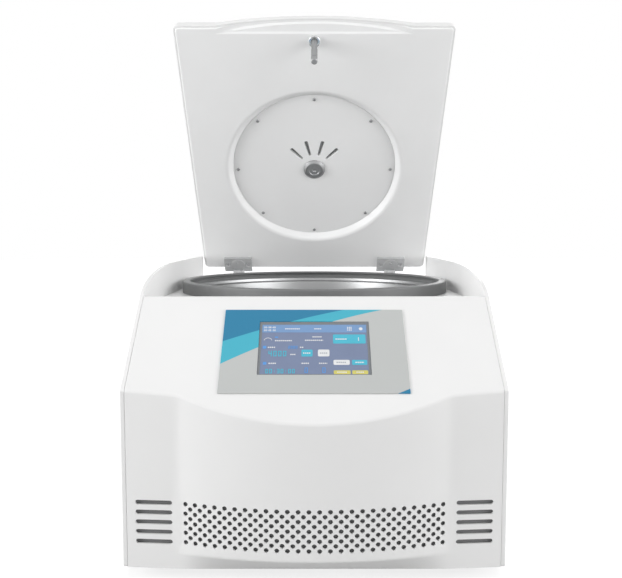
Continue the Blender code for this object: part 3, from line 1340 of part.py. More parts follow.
def main():
    clear_scene()
    add_base()
    add_feet()
    add_front_panel()
    add_side_panels()
    add_rear_panel()
    add_deck()
    add_bowl()
    add_seal()
    add_guard_ring()
    add_motor()
    add_boot()
    rotor_axis = joint_empty("rotor_spin_axis", (0, CHAMBER_Y, 0))
    add_spindle(rotor_axis)
    add_rotor(rotor_axis)
    add_rotor_nut(joint_empty("nut_turn_axis", (0, 0, 0), parent=rotor_axis))
    hinge = joint_empty("lid_hinge_axis", (0, HINGE_Y, HINGE_Z), -LID_OPEN)
    add_lid_shell(hinge)
    add_lid_panel(hinge)
    add_armour_plate(hinge)
    add_liner(hinge)
    add_striker(hinge)
    add_lock()
    add_latch_bolt()
    for name, side in (("left", -1), ("right", 1)):
        add_hinge_base(name, side * HINGE_ACROSS)
        add_hinge_leaf(name, side * HINGE_ACROSS, hinge)
    add_control_panel()
    add_fan_frame()
    add_fan_impeller(joint_empty("fan_spin_axis", (FAN_ACROSS, 0, FAN_Z)))
    add_power_inlet()
    add_switch_bezel()
    add_fuse_holder()
    add_drive_inverter()
    add_power_supply()


main()
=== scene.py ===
"""The looks of a bench centrifuge with its lid standing open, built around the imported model.

Metres, +Z up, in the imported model's frame. The front faces -Y, and the table is at Z = 0.
"""

import math

import bmesh
import bpy
from mathutils import Matrix, Vector
from mathutils.geometry import delaunay_2d_cdt


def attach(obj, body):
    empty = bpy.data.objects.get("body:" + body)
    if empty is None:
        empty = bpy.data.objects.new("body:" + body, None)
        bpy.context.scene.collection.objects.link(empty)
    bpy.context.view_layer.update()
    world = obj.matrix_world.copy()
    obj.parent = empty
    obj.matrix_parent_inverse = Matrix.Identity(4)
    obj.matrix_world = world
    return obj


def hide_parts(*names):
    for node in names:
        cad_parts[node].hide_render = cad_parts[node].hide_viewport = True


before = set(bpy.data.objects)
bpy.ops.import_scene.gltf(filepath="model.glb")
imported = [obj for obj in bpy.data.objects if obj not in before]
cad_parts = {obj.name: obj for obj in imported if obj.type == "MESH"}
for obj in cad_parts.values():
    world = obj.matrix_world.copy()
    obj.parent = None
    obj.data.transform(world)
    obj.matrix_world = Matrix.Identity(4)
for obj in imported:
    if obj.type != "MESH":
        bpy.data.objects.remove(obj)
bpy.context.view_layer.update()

MM = 0.001

# Housing
CLEAR = 0.3 * MM
INNER_X = 195.3 * MM
HALF_WIDTH = 200 * MM
FRONT_Y = -256 * MM
TOP_Y = -162 * MM
REAR_Y = 280 * MM
REAR_FACE_Y = 275 * MM
FLOOR_Z = 12 * MM
CREASE_Z = 195 * MM
DECK_Z = 278 * MM
DECK_UNDER_Z = 275.5 * MM
TOP_Z = 288 * MM
CHEEK_Z = 320 * MM
STEEPNESS = 93 / 94
SLOPE_ANGLE = math.atan(STEEPNESS)
FRONT_WALL = 2.5 * MM
LIP_WIDTH = 3 * MM
SIDE_SWEEP = 4 * MM
BULGE_DEPTH = 24 * MM
BULGE_HALF = 140 * MM
BULGE_FOOT = 17.5 * MM
BULGE_RADIUS = (BULGE_HALF**2 + BULGE_DEPTH**2) / (2 * BULGE_DEPTH)
CHAMBER_Y = 53 * MM

# Lid, in the frame of its hinge axis, as it lies when closed
HINGE_Y = 264 * MM
HINGE_Z = 291.9 * MM
LID_OPEN = math.radians(52)
LID_FACE = 3.5 * MM
LID_TOP = 29.5 * MM
LID_HALF = 190 * MM
LID_FRONT = -433 * MM
LID_EDGE = 17 * MM
LID_WALL = 3 * MM
LID_BACK = -7.1 * MM
LINER_Y = CHAMBER_Y - HINGE_Y + 8 * MM
STRIKER_Y = -412.5 * MM
LID_FRAME = Matrix.Translation((0, HINGE_Y, HINGE_Z)) @ Matrix.Rotation(-LID_OPEN, 4, "X")
SLOPE_FRAME = Matrix.Translation((0, FRONT_Y, CREASE_Z)) @ Matrix.Rotation(SLOPE_ANGLE, 4, "X")
CHAMBER_FRAME = Matrix.Translation((0, CHAMBER_Y, 0))


# Materials


def node(tree, kind, inputs=(), **settings):
    """A shader node. Its inputs take values or other nodes' outputs."""
    made = tree.nodes.new("ShaderNode" + kind)
    for name, value in settings.items():
        setattr(made, name, value)
    for name, value in dict(inputs).items():
        if isinstance(value, bpy.types.NodeSocket):
            tree.links.new(value, made.inputs[name])
        else:
            made.inputs[name].default_value = value
    return made


def noise(tree, scale, detail=2, stretch=(1, 1, 1)):
    """Noise fixed to the piece, with about this many features in a metre."""
    place = node(tree, "TexCoord").outputs["Object"]
    place = node(tree, "Mapping", {"Vector": place, "Scale": stretch}).outputs[0]
    return node(tree, "TexNoise", {"Vector": place, "Scale": scale, "Detail": detail}).outputs["Fac"]


def spread(tree, factor, low, high):
    return node(tree, "MapRange", {"Value": factor, "From Min": 0.3, "From Max": 0.7, "To Min": low,
                                   "To Max": high}).outputs[0]


def blend(tree, factor, first, second):
    mixed = node(tree, "Mix", {"Factor": factor}, data_type="RGBA")
    for name, colour in (("A", first), ("B", second)):
        socket = next(s for s in mixed.inputs if s.name == name and s.type == "RGBA")
        if isinstance(colour, bpy.types.NodeSocket):
            tree.links.new(colour, socket)
        else:
            socket.default_value = (*colour, 1)
    return next(s for s in mixed.outputs if s.type == "RGBA")


def shades(colour, share):
    return [tuple(min(c * f, 1) for c in colour) for f in (1 - share, 1 + share)]


def material(name, colour, roughness, metallic=0, tone=0.03, tone_scale=9, grain=700, height=0.03,
             rough_spread=0.04, stretch=(1, 1, 1), **sockets):
    """A finish with slow changes of tone, uneven gloss and a fine grain. Height is in millimetres."""
    made = bpy.data.materials.new(name)
    made.use_nodes = True
    tree = made.node_tree
    shader = tree.nodes["Principled BSDF"]
    slow = noise(tree, tone_scale, 4)
    fine = noise(tree, grain, 3, stretch)
    dark, light = shades(colour, tone)
    tree.links.new(blend(tree, spread(tree, slow, 0, 1), dark, light), shader.inputs["Base Color"])
    tree.links.new(spread(tree, fine, roughness - rough_spread, roughness + rough_spread),
                   shader.inputs["Roughness"])
    bump = node(tree, "Bump", {"Height": fine, "Strength": 0.6, "Distance": height * MM})
    tree.links.new(bump.outputs[0], shader.inputs["Normal"])
    shader.inputs["Metallic"].default_value = metallic
    for socket, value in sockets.items():
        shader.inputs[socket.replace("_", " ")].default_value = value
    return made


PAINT = material("white_powder_coat", (0.83, 0.83, 0.828), 0.42, tone=0.012, grain=900, height=0.02,
                 Specular_IOR_Level=0.22)
LID_PAINT = material("lid_satin_white", (0.83, 0.83, 0.828), 0.4, tone=0.012, grain=1100, height=0.012)
LID_PLASTIC = material("lid_inner_plastic", (0.90, 0.903, 0.903), 0.46, tone=0.015, grain=1600, height=0.01)
LINER = material("lid_liner_plastic", (0.93, 0.933, 0.933), 0.4, tone=0.015, grain=1300, height=0.008)
GREY_RUBBER = material("seal_grey_rubber", (0.18, 0.184, 0.185), 0.5, tone=0.12, grain=1500, height=0.03,
                       rough_spread=0.08)
BLACK_RUBBER = material("foot_black_rubber", (0.02, 0.02, 0.021), 0.7, tone=0.2, grain=1800, height=0.05)
BLACK_PLASTIC = material("black_moulded_plastic", (0.022, 0.022, 0.023), 0.45, tone=0.15, grain=2200, height=0.03)
HINGE_METAL = material("hinge_grey_metal", (0.58, 0.585, 0.59), 0.4, 0.5, tone=0.1, grain=1400, height=0.02,
                       rough_spread=0.08)
HINGE_LIGHT = material("hinge_light_finish", (0.7, 0.705, 0.71), 0.4, 0.2, tone=0.04, grain=1400, height=0.02)
DARK_METAL = material("hinge_dark_metal", (0.105, 0.107, 0.11), 0.42, 0.55, tone=0.12, grain=1400, height=0.02,
                      rough_spread=0.08)
STEEL = material("turned_steel", (0.60, 0.605, 0.61), 0.26, 1, tone=0.05, grain=60, height=0.01,
                 rough_spread=0.06, stretch=(1, 1, 60))
BOWL_STEEL = material("spun_steel", (0.31, 0.313, 0.316), 0.33, 1, tone=0.05, grain=40, height=0.006,
                      rough_spread=0.05, stretch=(1, 1, 90), Anisotropic=0.8)
BOSS_METAL = material("grey_boss_metal", (0.34, 0.345, 0.35), 0.36, 0.9, tone=0.08, grain=900, height=0.01,
                      rough_spread=0.06)
SATIN_METAL = material("satin_striker_metal", (0.30, 0.305, 0.31), 0.5, 0.9, tone=0.06, grain=900, height=0.006,
                       rough_spread=0.05)
FILTER = material("grey_filter_foam", (0.2, 0.203, 0.205), 0.9, tone=0.12, grain=1300, height=0.4)
CHROME = material("polished_chrome", (0.72, 0.725, 0.73), 0.1, 1, tone=0.03, grain=500, height=0.002,
                  rough_spread=0.03)
RAW_STEEL = material("plain_steel_plate", (0.34, 0.345, 0.35), 0.5, 1, tone=0.12, grain=420, height=0.02,
                     rough_spread=0.1)
CAST_METAL = material("cast_motor_paint", (0.13, 0.135, 0.14), 0.6, 0.3, tone=0.15, grain=650, height=0.15,
                      rough_spread=0.1)
ALUMINIUM = material("plain_aluminium", (0.56, 0.57, 0.58), 0.36, 1, tone=0.06, grain=50, height=0.01,
                     rough_spread=0.08, stretch=(1, 40, 1))
BOARD = material("board_green", (0.02, 0.12, 0.05), 0.4, tone=0.2, grain=900, height=0.03)


# Shapes


def arc(centre, radius, start, end, steps):
    """Points along an arc, both ends included, anticlockwise from the first axis."""
    angles = [start + (end - start) * i / steps for i in range(steps + 1)]
    return [(centre[0] + radius * math.cos(a), centre[1] + radius * math.sin(a)) for a in angles]


def circle(radius, sides, centre=(0, 0)):
    return arc(centre, radius, 0, math.tau, sides)[:-1]


def rectangle(left, right, low, high):
    return [(left, low), (right, low), (right, high), (left, high)]


def rounded(points, radius, steps=4, closed=True):
    """The line with its corners turned into arcs. The radius is one value, or one for each point."""
    radii = radius if isinstance(radius, (list, tuple)) else [radius] * len(points)
    line = []
    for i, (point, size) in enumerate(zip(points, radii)):
        here = Vector(point)
        ends = not closed and i in (0, len(points) - 1)
        before = Vector(points[i - 1]) - here
        after = Vector(points[(i + 1) % len(points)]) - here
        if ends or size <= 0 or math.pi - before.angle(after) < 1e-4:
            line.append(tuple(here))
            continue
        reach = size / math.tan(before.angle(after) / 2)
        start = here + before.normalized() * min(reach, before.length * 0.49)
        end = here + after.normalized() * min(reach, after.length * 0.49)
        for k in range(steps + 1):
            t = k / steps
            line.append(tuple(start * (1 - t) ** 2 + here * (2 * t * (1 - t)) + end * t**2))
    return line


def inset(outline, distance):
    """A closed outline drawn in by a distance, corner for corner."""
    points = [Vector(point) for point in outline]
    area = sum(a.x * b.y - b.x * a.y for a, b in zip(points, points[1:] + points[:1]))
    inward = distance if area > 0 else -distance
    steps = [(b - a).normalized() for a, b in zip(points, points[1:] + points[:1])]
    drawn = []
    for point, before, after in zip(points, steps[-1:] + steps[:-1], steps):
        sides = Vector((-before.y - after.y, before.x + after.x))
        drawn.append(tuple(point + sides * inward / (1 + before.dot(after))))
    return drawn


def turn_of(along):
    return {
        "Z": lambda a, b, level: (a, b, level),
        "X": lambda a, b, level: (level, a, b),
        "Y": lambda a, b, level: (a, level, b),
    }[along]


def lofted(loops, capped=True):
    """A solid through closed loops of points that match one to one."""
    bm = bmesh.new()
    rings = [[bm.verts.new(point) for point in loop] for loop in loops]
    for ring, following in zip(rings, rings[1:]):
        for i, _ in enumerate(ring):
            j = (i + 1) % len(ring)
            bm.faces.new((ring[i], ring[j], following[j], following[i]))
    if capped:
        bm.faces.new(rings[0])
        bm.faces.new(rings[-1])
    return bm


def prism(outline, low, high, along="Z", edge=0, low_edge=None, steps=3):
    """A straight solid over an outline, with its rims rounded: the first edge at the high end."""
    low_edge = edge if low_edge is None else low_edge
    place = turn_of(along)
    levels = []
    for size, level, way in ((low_edge, low, 1), (edge, high, -1)):
        curve = [math.pi / 2 * k / steps for k in range(steps + 1)] if size else [math.pi / 2]
        rim = [(size * (1 - math.sin(a)), level + way * size * (1 - math.cos(a))) for a in curve]
        levels += rim if way > 0 else rim[::-1]
    return lofted([[place(a, b, level) for a, b in inset(outline, drawn)] for drawn, level in levels])


def block(x_range, y_range, z_range, edge=0, corner=0, along="Z"):
    """A box with rounded rims, and rounded corners as seen along one axis."""
    ranges = {"Z": (x_range, y_range, z_range), "X": (y_range, z_range, x_range), "Y": (x_range, z_range, y_range)}
    wide, tall, deep = ranges[along]
    outline = rectangle(*wide, *tall)
    if corner:
        outline = rounded(outline, corner)
    return prism(outline, *deep, along, edge)


def turned(profile, sides, along="Z"):
    """A solid of revolution about an axis through the origin. The closed profile holds (radius, height)."""
    place = turn_of(along)
    bm = bmesh.new()
    rings = []
    for radius, height in profile:
        spots = circle(radius, sides) if radius > 1e-7 else [(0, 0)]
        rings.append([bm.verts.new(place(x, y, height)) for x, y in spots])
    for ring, following in zip(rings, rings[1:] + rings[:1]):
        for k in range(sides):
            here, ahead = k % len(ring), (k + 1) % len(ring)
            there, beyond = k % len(following), (k + 1) % len(following)
            corners = dict.fromkeys((ring[here], ring[ahead], following[beyond], following[there]))
            if len(corners) > 2:
                bm.faces.new(list(corners))
    return bm


def rod(radius, low, high, sides=32, place=(0, 0, 0), along="Z", edge=0):
    outline = rounded([(0, low), (radius, low), (radius, high), (0, high)], [0, edge, edge, 0], 3)
    return moved(turned(outline, sides, along), place)


def moved(bm, place=(0, 0, 0), turn=0, axis="Z"):
    matrix = Matrix.Translation(Vector(place)) @ Matrix.Rotation(turn, 4, axis)
    bmesh.ops.transform(bm, matrix=matrix, verts=bm.verts)
    return bm


def together(shapes):
    whole = bmesh.new()
    for shape in shapes:
        mesh = bpy.data.meshes.new("shape")
        shape.to_mesh(mesh)
        shape.free()
        whole.from_mesh(mesh)
        bpy.data.meshes.remove(mesh)
    return whole


def holder(bm):
    bmesh.ops.recalc_face_normals(bm, faces=bm.faces)
    mesh = bpy.data.meshes.new("shape")
    bm.to_mesh(mesh)
    bm.free()
    made = bpy.data.objects.new("shape", mesh)
    bpy.context.scene.collection.objects.link(made)
    return made


def combined(shape, tool, operation="DIFFERENCE"):
    """One shape cut by another, or joined to it."""
    base, guide = holder(shape), holder(tool)
    modifier = base.modifiers.new("combine", "BOOLEAN")
    modifier.operation = operation
    modifier.object = guide
    modifier.solver = "EXACT"
    graph = bpy.context.evaluated_depsgraph_get()
    whole = bmesh.new()
    whole.from_mesh(base.evaluated_get(graph).to_mesh())
    for made in (base, guide):
        mesh = made.data
        bpy.data.objects.remove(made)
        bpy.data.meshes.remove(mesh)
    return whole


# Pieces


def dressed(obj, edge, steps=2, angle=32):
    """Rounds the sharp edges where asked, and keeps flat faces flat in the shading."""
    obj.data.shade_smooth()
    obj.data.set_sharp_from_angle(angle=math.radians(angle))
    if edge:
        bevel = obj.modifiers.new("soft_edges", "BEVEL")
        bevel.limit_method = "ANGLE"
        bevel.angle_limit = math.radians(angle)
        bevel.width = edge
        bevel.segments = steps
        bevel.harden_normals = False
    normals = obj.modifiers.new("flat_faces", "WEIGHTED_NORMAL")
    normals.keep_sharp = True
    return obj


def piece(name, bm, finish, body, place=None, stands_for=(), edge=0, steps=2, angle=32):
    """A piece of the part: its shape, finish, the body it rides on and the CAD nodes it stands for."""
    bmesh.ops.remove_doubles(bm, verts=bm.verts, dist=1e-7)
    bmesh.ops.recalc_face_normals(bm, faces=bm.faces)
    mesh = bpy.data.meshes.new(name)
    bm.to_mesh(mesh)
    bm.free()
    obj = bpy.data.objects.new(name, mesh)
    bpy.context.scene.collection.objects.link(obj)
    mesh.materials.append(finish)
    if place is not None:
        obj.matrix_world = place
    dressed(obj, edge, steps, angle)
    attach(obj, body)
    if stands_for:
        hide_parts(*stands_for)
    return obj


# Front panel

HOLE_RADIUS = 2.55 * MM
HOLE_PITCH = 10.8 * MM
HOLE_ROW_STEP = 5.06 * MM
HOLE_TOP_Z = FLOOR_Z + 70 * MM
SLOT_TOP_Z = FLOOR_Z + 70.2 * MM
SLOT_ROW_STEP = 10.4 * MM
SLOT_HEIGHT = 4.9 * MM
SLOT_RANGE = (147 * MM, 186 * MM)
BAND = (35 * MM, 91 * MM)
WINDOW_HALF = 60.1 * MM
WINDOW_UP = (24.7 * MM, 95.1 * MM)
VALLEY = 5 * MM
TRACE_STEP = 0.25 * MM


def trace_front():
    """Points (distance along, x, y) of the front face from the middle out, with a soft valley beside the bulge."""
    edge_turn = math.asin(BULGE_HALF / BULGE_RADIUS)
    side_turn = math.atan(SIDE_SWEEP / (INNER_X - BULGE_HALF))
    end = edge_turn * BULGE_RADIUS
    trace, along, x, y = [], 0, 0, FRONT_Y - BULGE_DEPTH
    while x < INNER_X + TRACE_STEP:
        trace.append((along, x, y))
        t = min(max((along - end + VALLEY) / (2 * VALLEY), 0), 1)
        turn = (1 - t) * min(along / BULGE_RADIUS, edge_turn) + t * side_turn
        x += TRACE_STEP * math.cos(turn)
        y += TRACE_STEP * math.sin(turn)
        along += TRACE_STEP
    return trace


TRACE = trace_front()


def front_at(along):
    """The place (x, y) at a distance along the front face, to the left or right of the middle."""
    index, share = divmod(abs(along) / TRACE_STEP, 1)
    (_, x0, y0), (_, x1, y1) = TRACE[int(index)], TRACE[min(int(index) + 1, len(TRACE) - 1)]
    return math.copysign(x0 + (x1 - x0) * share, along), y0 + (y1 - y0) * share


def along_at(x):
    """The distance along the front face at which it reaches x."""
    for (a0, x0, _), (a1, x1, _) in zip(TRACE, TRACE[1:]):
        if x1 >= abs(x):
            return math.copysign(a0 + (a1 - a0) * (abs(x) - x0) / (x1 - x0), x)
    return math.copysign(TRACE[-1][0], x)


def upslope(up):
    """The place (y, z) at a height up the slope above the crease."""
    return FRONT_Y + up * math.cos(SLOPE_ANGLE), CREASE_Z + up * math.sin(SLOPE_ANGLE)


def section(along):
    """The panel's outer and inner lines at one place along it, as (y, z) with one point each for every row."""
    x, face = front_at(along)
    base = FRONT_Y + SIDE_SWEEP * max(abs(x) - BULGE_HALF, 0) / (INNER_X - BULGE_HALF)
    base = max(base, face)
    lines = []
    for wall in (0, FRONT_WALL):
        slope_drop = wall / math.cos(SLOPE_ANGLE)
        foot = (face + wall, FLOOR_Z + BULGE_FOOT + wall * 0.6)
        crease_y = face + wall
        crease = (crease_y, CREASE_Z + (crease_y - FRONT_Y) * STEEPNESS - slope_drop)
        back = TOP_Y + LIP_WIDTH - wall
        ridge_y = back - wall if wall else TOP_Y
        ridge = (ridge_y, CREASE_Z + (ridge_y - FRONT_Y) * STEEPNESS - slope_drop)
        corners = [(base + wall, FLOOR_Z), foot, crease, ridge, (back, TOP_Z - wall), (back, DECK_UNDER_Z)]
        lines.append(rows_of(corners, wall))
    return lines


def rows_of(corners, wall):
    """The same number of points whatever the bend: straight runs with a short curve at each corner."""
    reach = [0, 2.2 * MM, 2.6 * MM, 1.6 * MM, 0.8 * MM, 0]
    points = [Vector(corner) for corner in corners]
    runs = [[0, 1], [0, 0.5, 1], [0, 1], [0, 1], [0, 1]]
    line = []
    for i, (start, end) in enumerate(zip(points, points[1:])):
        way = (end - start).normalized()
        near, far = start + way * reach[i], end - way * reach[i + 1]
        if i == 1:
            levels = (BAND[0], BAND[1], (BAND[1] + far.y) / 2)
            line += [near] + [Vector((near.x, level)) for level in levels] + [far]
        elif i == 2:
            ups = (12 * MM, WINDOW_UP[0], 60 * MM, WINDOW_UP[1], 115 * MM)
            sunk = Vector((math.sin(SLOPE_ANGLE), -math.cos(SLOPE_ANGLE))) * wall
            line += [near] + [Vector(upslope(up)) + sunk for up in ups] + [far]
        else:
            line += [near + (far - near) * share for share in runs[i]]
        if i + 2 < len(points):
            turn = (points[i + 2] - end).normalized()
            after = end + turn * reach[i + 1]
            for t in (0.25, 0.5, 0.75):
                line.append(far * (1 - t) ** 2 + end * (2 * t * (1 - t)) + after * t**2)
    return line


def panel_columns():
    edge, window = along_at(INNER_X - CLEAR), along_at(WINDOW_HALF)
    columns = []
    for start, end in ((-edge, -window), (-window, window), (window, edge)):
        count = round((end - start) / (4.5 * MM))
        columns += [start + (end - start) * i / count for i in range(count)]
    return columns + [edge]


def front_openings():
    """The round holes and the slots: both ends of each one's middle line, and its half height."""
    half = math.asin(BULGE_HALF / BULGE_RADIUS) * BULGE_RADIUS
    most = int(2 * (half - 7.5 * MM) / HOLE_PITCH) + 1
    found = []
    for row in range(9):
        count = most - row % 2
        for i in range(count):
            middle = ((i - (count - 1) / 2) * HOLE_PITCH, HOLE_TOP_Z - row * HOLE_ROW_STEP)
            found.append((middle, middle, HOLE_RADIUS))
    radius = SLOT_HEIGHT / 2
    near, far = along_at(SLOT_RANGE[0]) + radius, along_at(SLOT_RANGE[1]) - radius
    for row in range(5):
        z = SLOT_TOP_Z - row * SLOT_ROW_STEP
        found += [((near, z), (far, z), radius), ((-far, z), (-near, z), radius)]
    return found


def distance_to(point, opening):
    (left, z), (right, _), _ = opening
    return math.hypot(point[0] - min(max(point[0], left), right), point[1] - z)


def opening_outline(opening):
    start, end, radius = opening
    if start == end:
        return circle(radius, 16, start)
    quarter = math.pi / 2
    return arc(end, radius, -quarter, quarter, 8) + arc(start, radius, quarter, 3 * quarter, 8)


def band_mesh(columns):
    """The pierced part of the panel, laid out flat: its points and triangles."""
    openings = front_openings()
    points = [(along, BAND[0]) for along in columns] + [(along, BAND[1]) for along in columns[::-1]]
    lines = [(i, (i + 1) % len(points)) for i in range(len(points))]
    for opening in openings:
        outline = opening_outline(opening)
        first = len(points)
        points += outline
        lines += [(first + i, first + (i + 1) % len(outline)) for i in range(len(outline))]
    for along in columns[1:-1:2]:
        for z in (44 * MM, 53 * MM, 62 * MM, 71 * MM, 80 * MM):
            if all(distance_to((along, z), opening) > opening[2] + 1.2 * MM for opening in openings):
                points.append((along, z))
    flat = [Vector(point) for point in points]
    made, _, triangles, _, _, _ = delaunay_2d_cdt(flat, lines, [], 0, 1e-7)
    kept = []
    for corners in triangles:
        middle = sum((made[i] for i in corners), Vector((0, 0))) / len(corners)
        if all(distance_to(middle, o) > o[2] * math.cos(math.pi / 16) for o in openings):
            kept.append(corners)
    return made, kept


BAND_ROW, WINDOW_ROWS = 6, (15, 16)


def add_front_panel():
    """A sheet with an outer and an inner face, joined round its rims, its window and its openings."""
    columns = panel_columns()
    outer, inner, faces, seen = [], [], [], {}

    def spot(along, out, back):
        key = (round(along / MM, 3), round(out[2] / MM, 3), round(out[1] / MM, 2))
        if key not in seen:
            seen[key] = len(outer)
            outer.append(out)
            inner.append(back)
        return seen[key]

    grid = []
    for along in columns:
        x = front_at(along)[0]
        lines = section(along)
        grid.append([spot(along, (x, *out), (x, *back)) for out, back in zip(*lines)])
    for c, (column, following) in enumerate(zip(grid, grid[1:])):
        within = abs(columns[c] + columns[c + 1]) / 2 < along_at(WINDOW_HALF)
        for r in range(len(column) - 1):
            if r != BAND_ROW and not (within and r in WINDOW_ROWS):
                faces.append((column[r], following[r], following[r + 1], column[r + 1]))
    made, triangles = band_mesh(columns)
    numbers = []
    for along, z in made:
        x, y = front_at(along)
        numbers.append(spot(along, (x, y, z), (x, y + FRONT_WALL, z)))
    faces += [tuple(numbers[i] for i in corners) for corners in triangles]
    bm = bmesh.new()
    front = [bm.verts.new(point) for point in outer]
    back = [bm.verts.new(point) for point in inner]
    for corners in faces:
        bm.faces.new([front[i] for i in corners])
    rims = [edge for edge in bm.edges if len(edge.link_faces) == 1]
    for corners in faces:
        bm.faces.new([back[i] for i in corners[::-1]])
    bm.verts.index_update()
    partner = dict(zip(front, back))
    for edge in rims:
        first, last = edge.verts
        bm.faces.new((first, last, partner[last], partner[first]))
    piece("front_shell", bm, PAINT, "housing", stands_for=("front_panel",), angle=38)


def add_filter():
    """The foam filter that is seen through the holes and slots."""
    end = along_at(189 * MM)
    places = [front_at(end * k / 60) for k in range(-60, 61)]
    near, far = FRONT_WALL + 1.2 * MM, FRONT_WALL + 5.2 * MM
    outline = [(x, y + near) for x, y in places] + [(x, y + far) for x, y in places[::-1]]
    piece("air_filter", prism(outline, FLOOR_Z + 20 * MM, FLOOR_Z + 79 * MM), FILTER, "housing")


# Side panels, deck, base and feet


def cheek_curve(steps=40):
    start, pull, end = Vector((TOP_Y, TOP_Z)), Vector((TOP_Y + 31 * MM, CHEEK_Z)), Vector((TOP_Y + 206 * MM, CHEEK_Z))
    shares = [i / steps for i in range(steps + 1)]
    return [tuple(start * (1 - t) ** 2 + pull * (2 * t * (1 - t)) + end * t**2) for t in shares]


def side_outline():
    front, back = FRONT_Y + SIDE_SWEEP, REAR_Y - 8 * MM
    corners = [(REAR_Y, DECK_Z), (REAR_Y, FLOOR_Z), (front, FLOOR_Z), (front, CREASE_Z + SIDE_SWEEP * STEEPNESS)]
    line = rounded([cheek_curve()[-1], (back, CHEEK_Z), (back, DECK_Z)] + corners + [(TOP_Y, TOP_Z)],
                   [0, 6 * MM, 1 * MM, 2 * MM, 3 * MM, 3 * MM, 4 * MM, 0], 5, closed=False)
    return line + cheek_curve()[1:-1]


def add_side_panels():
    for name, side in (("left", -1), ("right", 1)):
        edges = {"edge": 1.1 * MM, "low_edge": 0.5 * MM}
        low, high = INNER_X, HALF_WIDTH
        if side < 0:
            low, high, edges = -HALF_WIDTH, -INNER_X, {"edge": 0.5 * MM, "low_edge": 1.1 * MM}
        piece(f"side_shell_{name}", prism(side_outline(), low, high, "X", **edges), PAINT, "housing",
              stands_for=(f"side_panel_{name}",), angle=40)


def latch_opening(low, high):
    return block((-5 * MM, 5 * MM), (-157.5 * MM, -143.5 * MM), (low, high), corner=1.5 * MM)


def add_deck():
    edge = INNER_X - CLEAR
    sheet = block((-edge, edge), (TOP_Y + 3.3 * MM, REAR_Y), (DECK_UNDER_Z, DECK_Z), edge=0.5 * MM)
    reach = (DECK_UNDER_Z - 2 * MM, DECK_Z + 2 * MM)
    sheet = combined(sheet, moved(rod(159.3 * MM, *reach, 128), (0, CHAMBER_Y, 0)))
    piece("deck_plate", combined(sheet, latch_opening(*reach)), PAINT, "housing",
          stands_for=("top_deck",))


def add_feet():
    for name, x, y in (("front_left", -152, -208), ("front_right", 152, -208), ("rear_left", -152, 232),
                       ("rear_right", 152, 232)):
        line = [(0, 0), (13 * MM, 0), (13.4 * MM, 1 * MM), (14.6 * MM, 1 * MM), (15 * MM, 0), (16.4 * MM, 0),
                (18 * MM, 1.8 * MM), (17.4 * MM, 4 * MM), (16.2 * MM, 4.4 * MM), (15.6 * MM, 7 * MM),
                (14 * MM, 11.7 * MM), (4 * MM, 11.7 * MM), (4 * MM, 15 * MM), (0, 15 * MM)]
        sizes = [0, 0.3, 0.3, 0.3, 0.3, 1, 1, 0.5, 0.5, 1, 0.8, 0.2, 0.5, 0]
        line = rounded(line, [size * MM for size in sizes], 3)
        piece(f"rubber_foot_{name}", turned(line, 48), BLACK_RUBBER, "housing",
              Matrix.Translation((x * MM, y * MM, 0)), (f"foot_{name}",))


# Chamber, rotor and nut


def add_chamber():
    low, rim, wall = DECK_Z + CLEAR, 176.5 * MM, 1.5 * MM
    outer, radius, floor, hole = 159 * MM, 157.5 * MM, 148 * MM, 24 * MM
    line = [(radius - 4.5 * MM, low - 31 * MM), (radius, low + wall), (rim - 2.3 * MM, low + wall),
            (rim - 1.6 * MM, low + 6.2 * MM), (rim, low + 6.2 * MM),
            (rim, low), (outer, low), (outer, floor - wall),
            (hole, floor - wall), (hole, floor + 2 * MM), (hole + wall, floor + 2 * MM), (hole + wall, floor),
            (radius - 4.5 * MM, floor)]
    sizes = [8, 1, 1.2, 0.6, 0.7, 0.8, 0.4, 23.5, 0, 0.3, 0.3, 0.8, 22]
    line = rounded(line, [size * MM for size in sizes], 12)
    piece("steel_bowl", turned(line, 160), BOWL_STEEL, "housing", CHAMBER_FRAME, ("chamber_bowl",))
    inner, outer, crest = 176.8 * MM, 187.5 * MM, 295 * MM
    groove, band, top = inner + 4 * MM, low + 10.5 * MM, low + 13.9 * MM
    line = [(outer, low), (inner, low), (inner, band), (groove, band), (groove, top), (inner, top),
            (inner, crest), (outer, crest), (outer, low + 10 * MM)]
    sizes = [0.5, 0.5, 0.7, 0.5, 0.5, 0.4, 1.8, 2.6, 1]
    line = rounded(line, [size * MM for size in sizes], 7)
    ring = turned(line, 160)
    for vert in ring.verts:
        vert.co.z -= 1.3 * MM * (outer - vert.co.y) / (2 * outer) * (vert.co.z - low) / (crest - low)
    piece("seal_ring", ring, GREY_RUBBER, "housing", CHAMBER_FRAME,
          ("chamber_seal",))


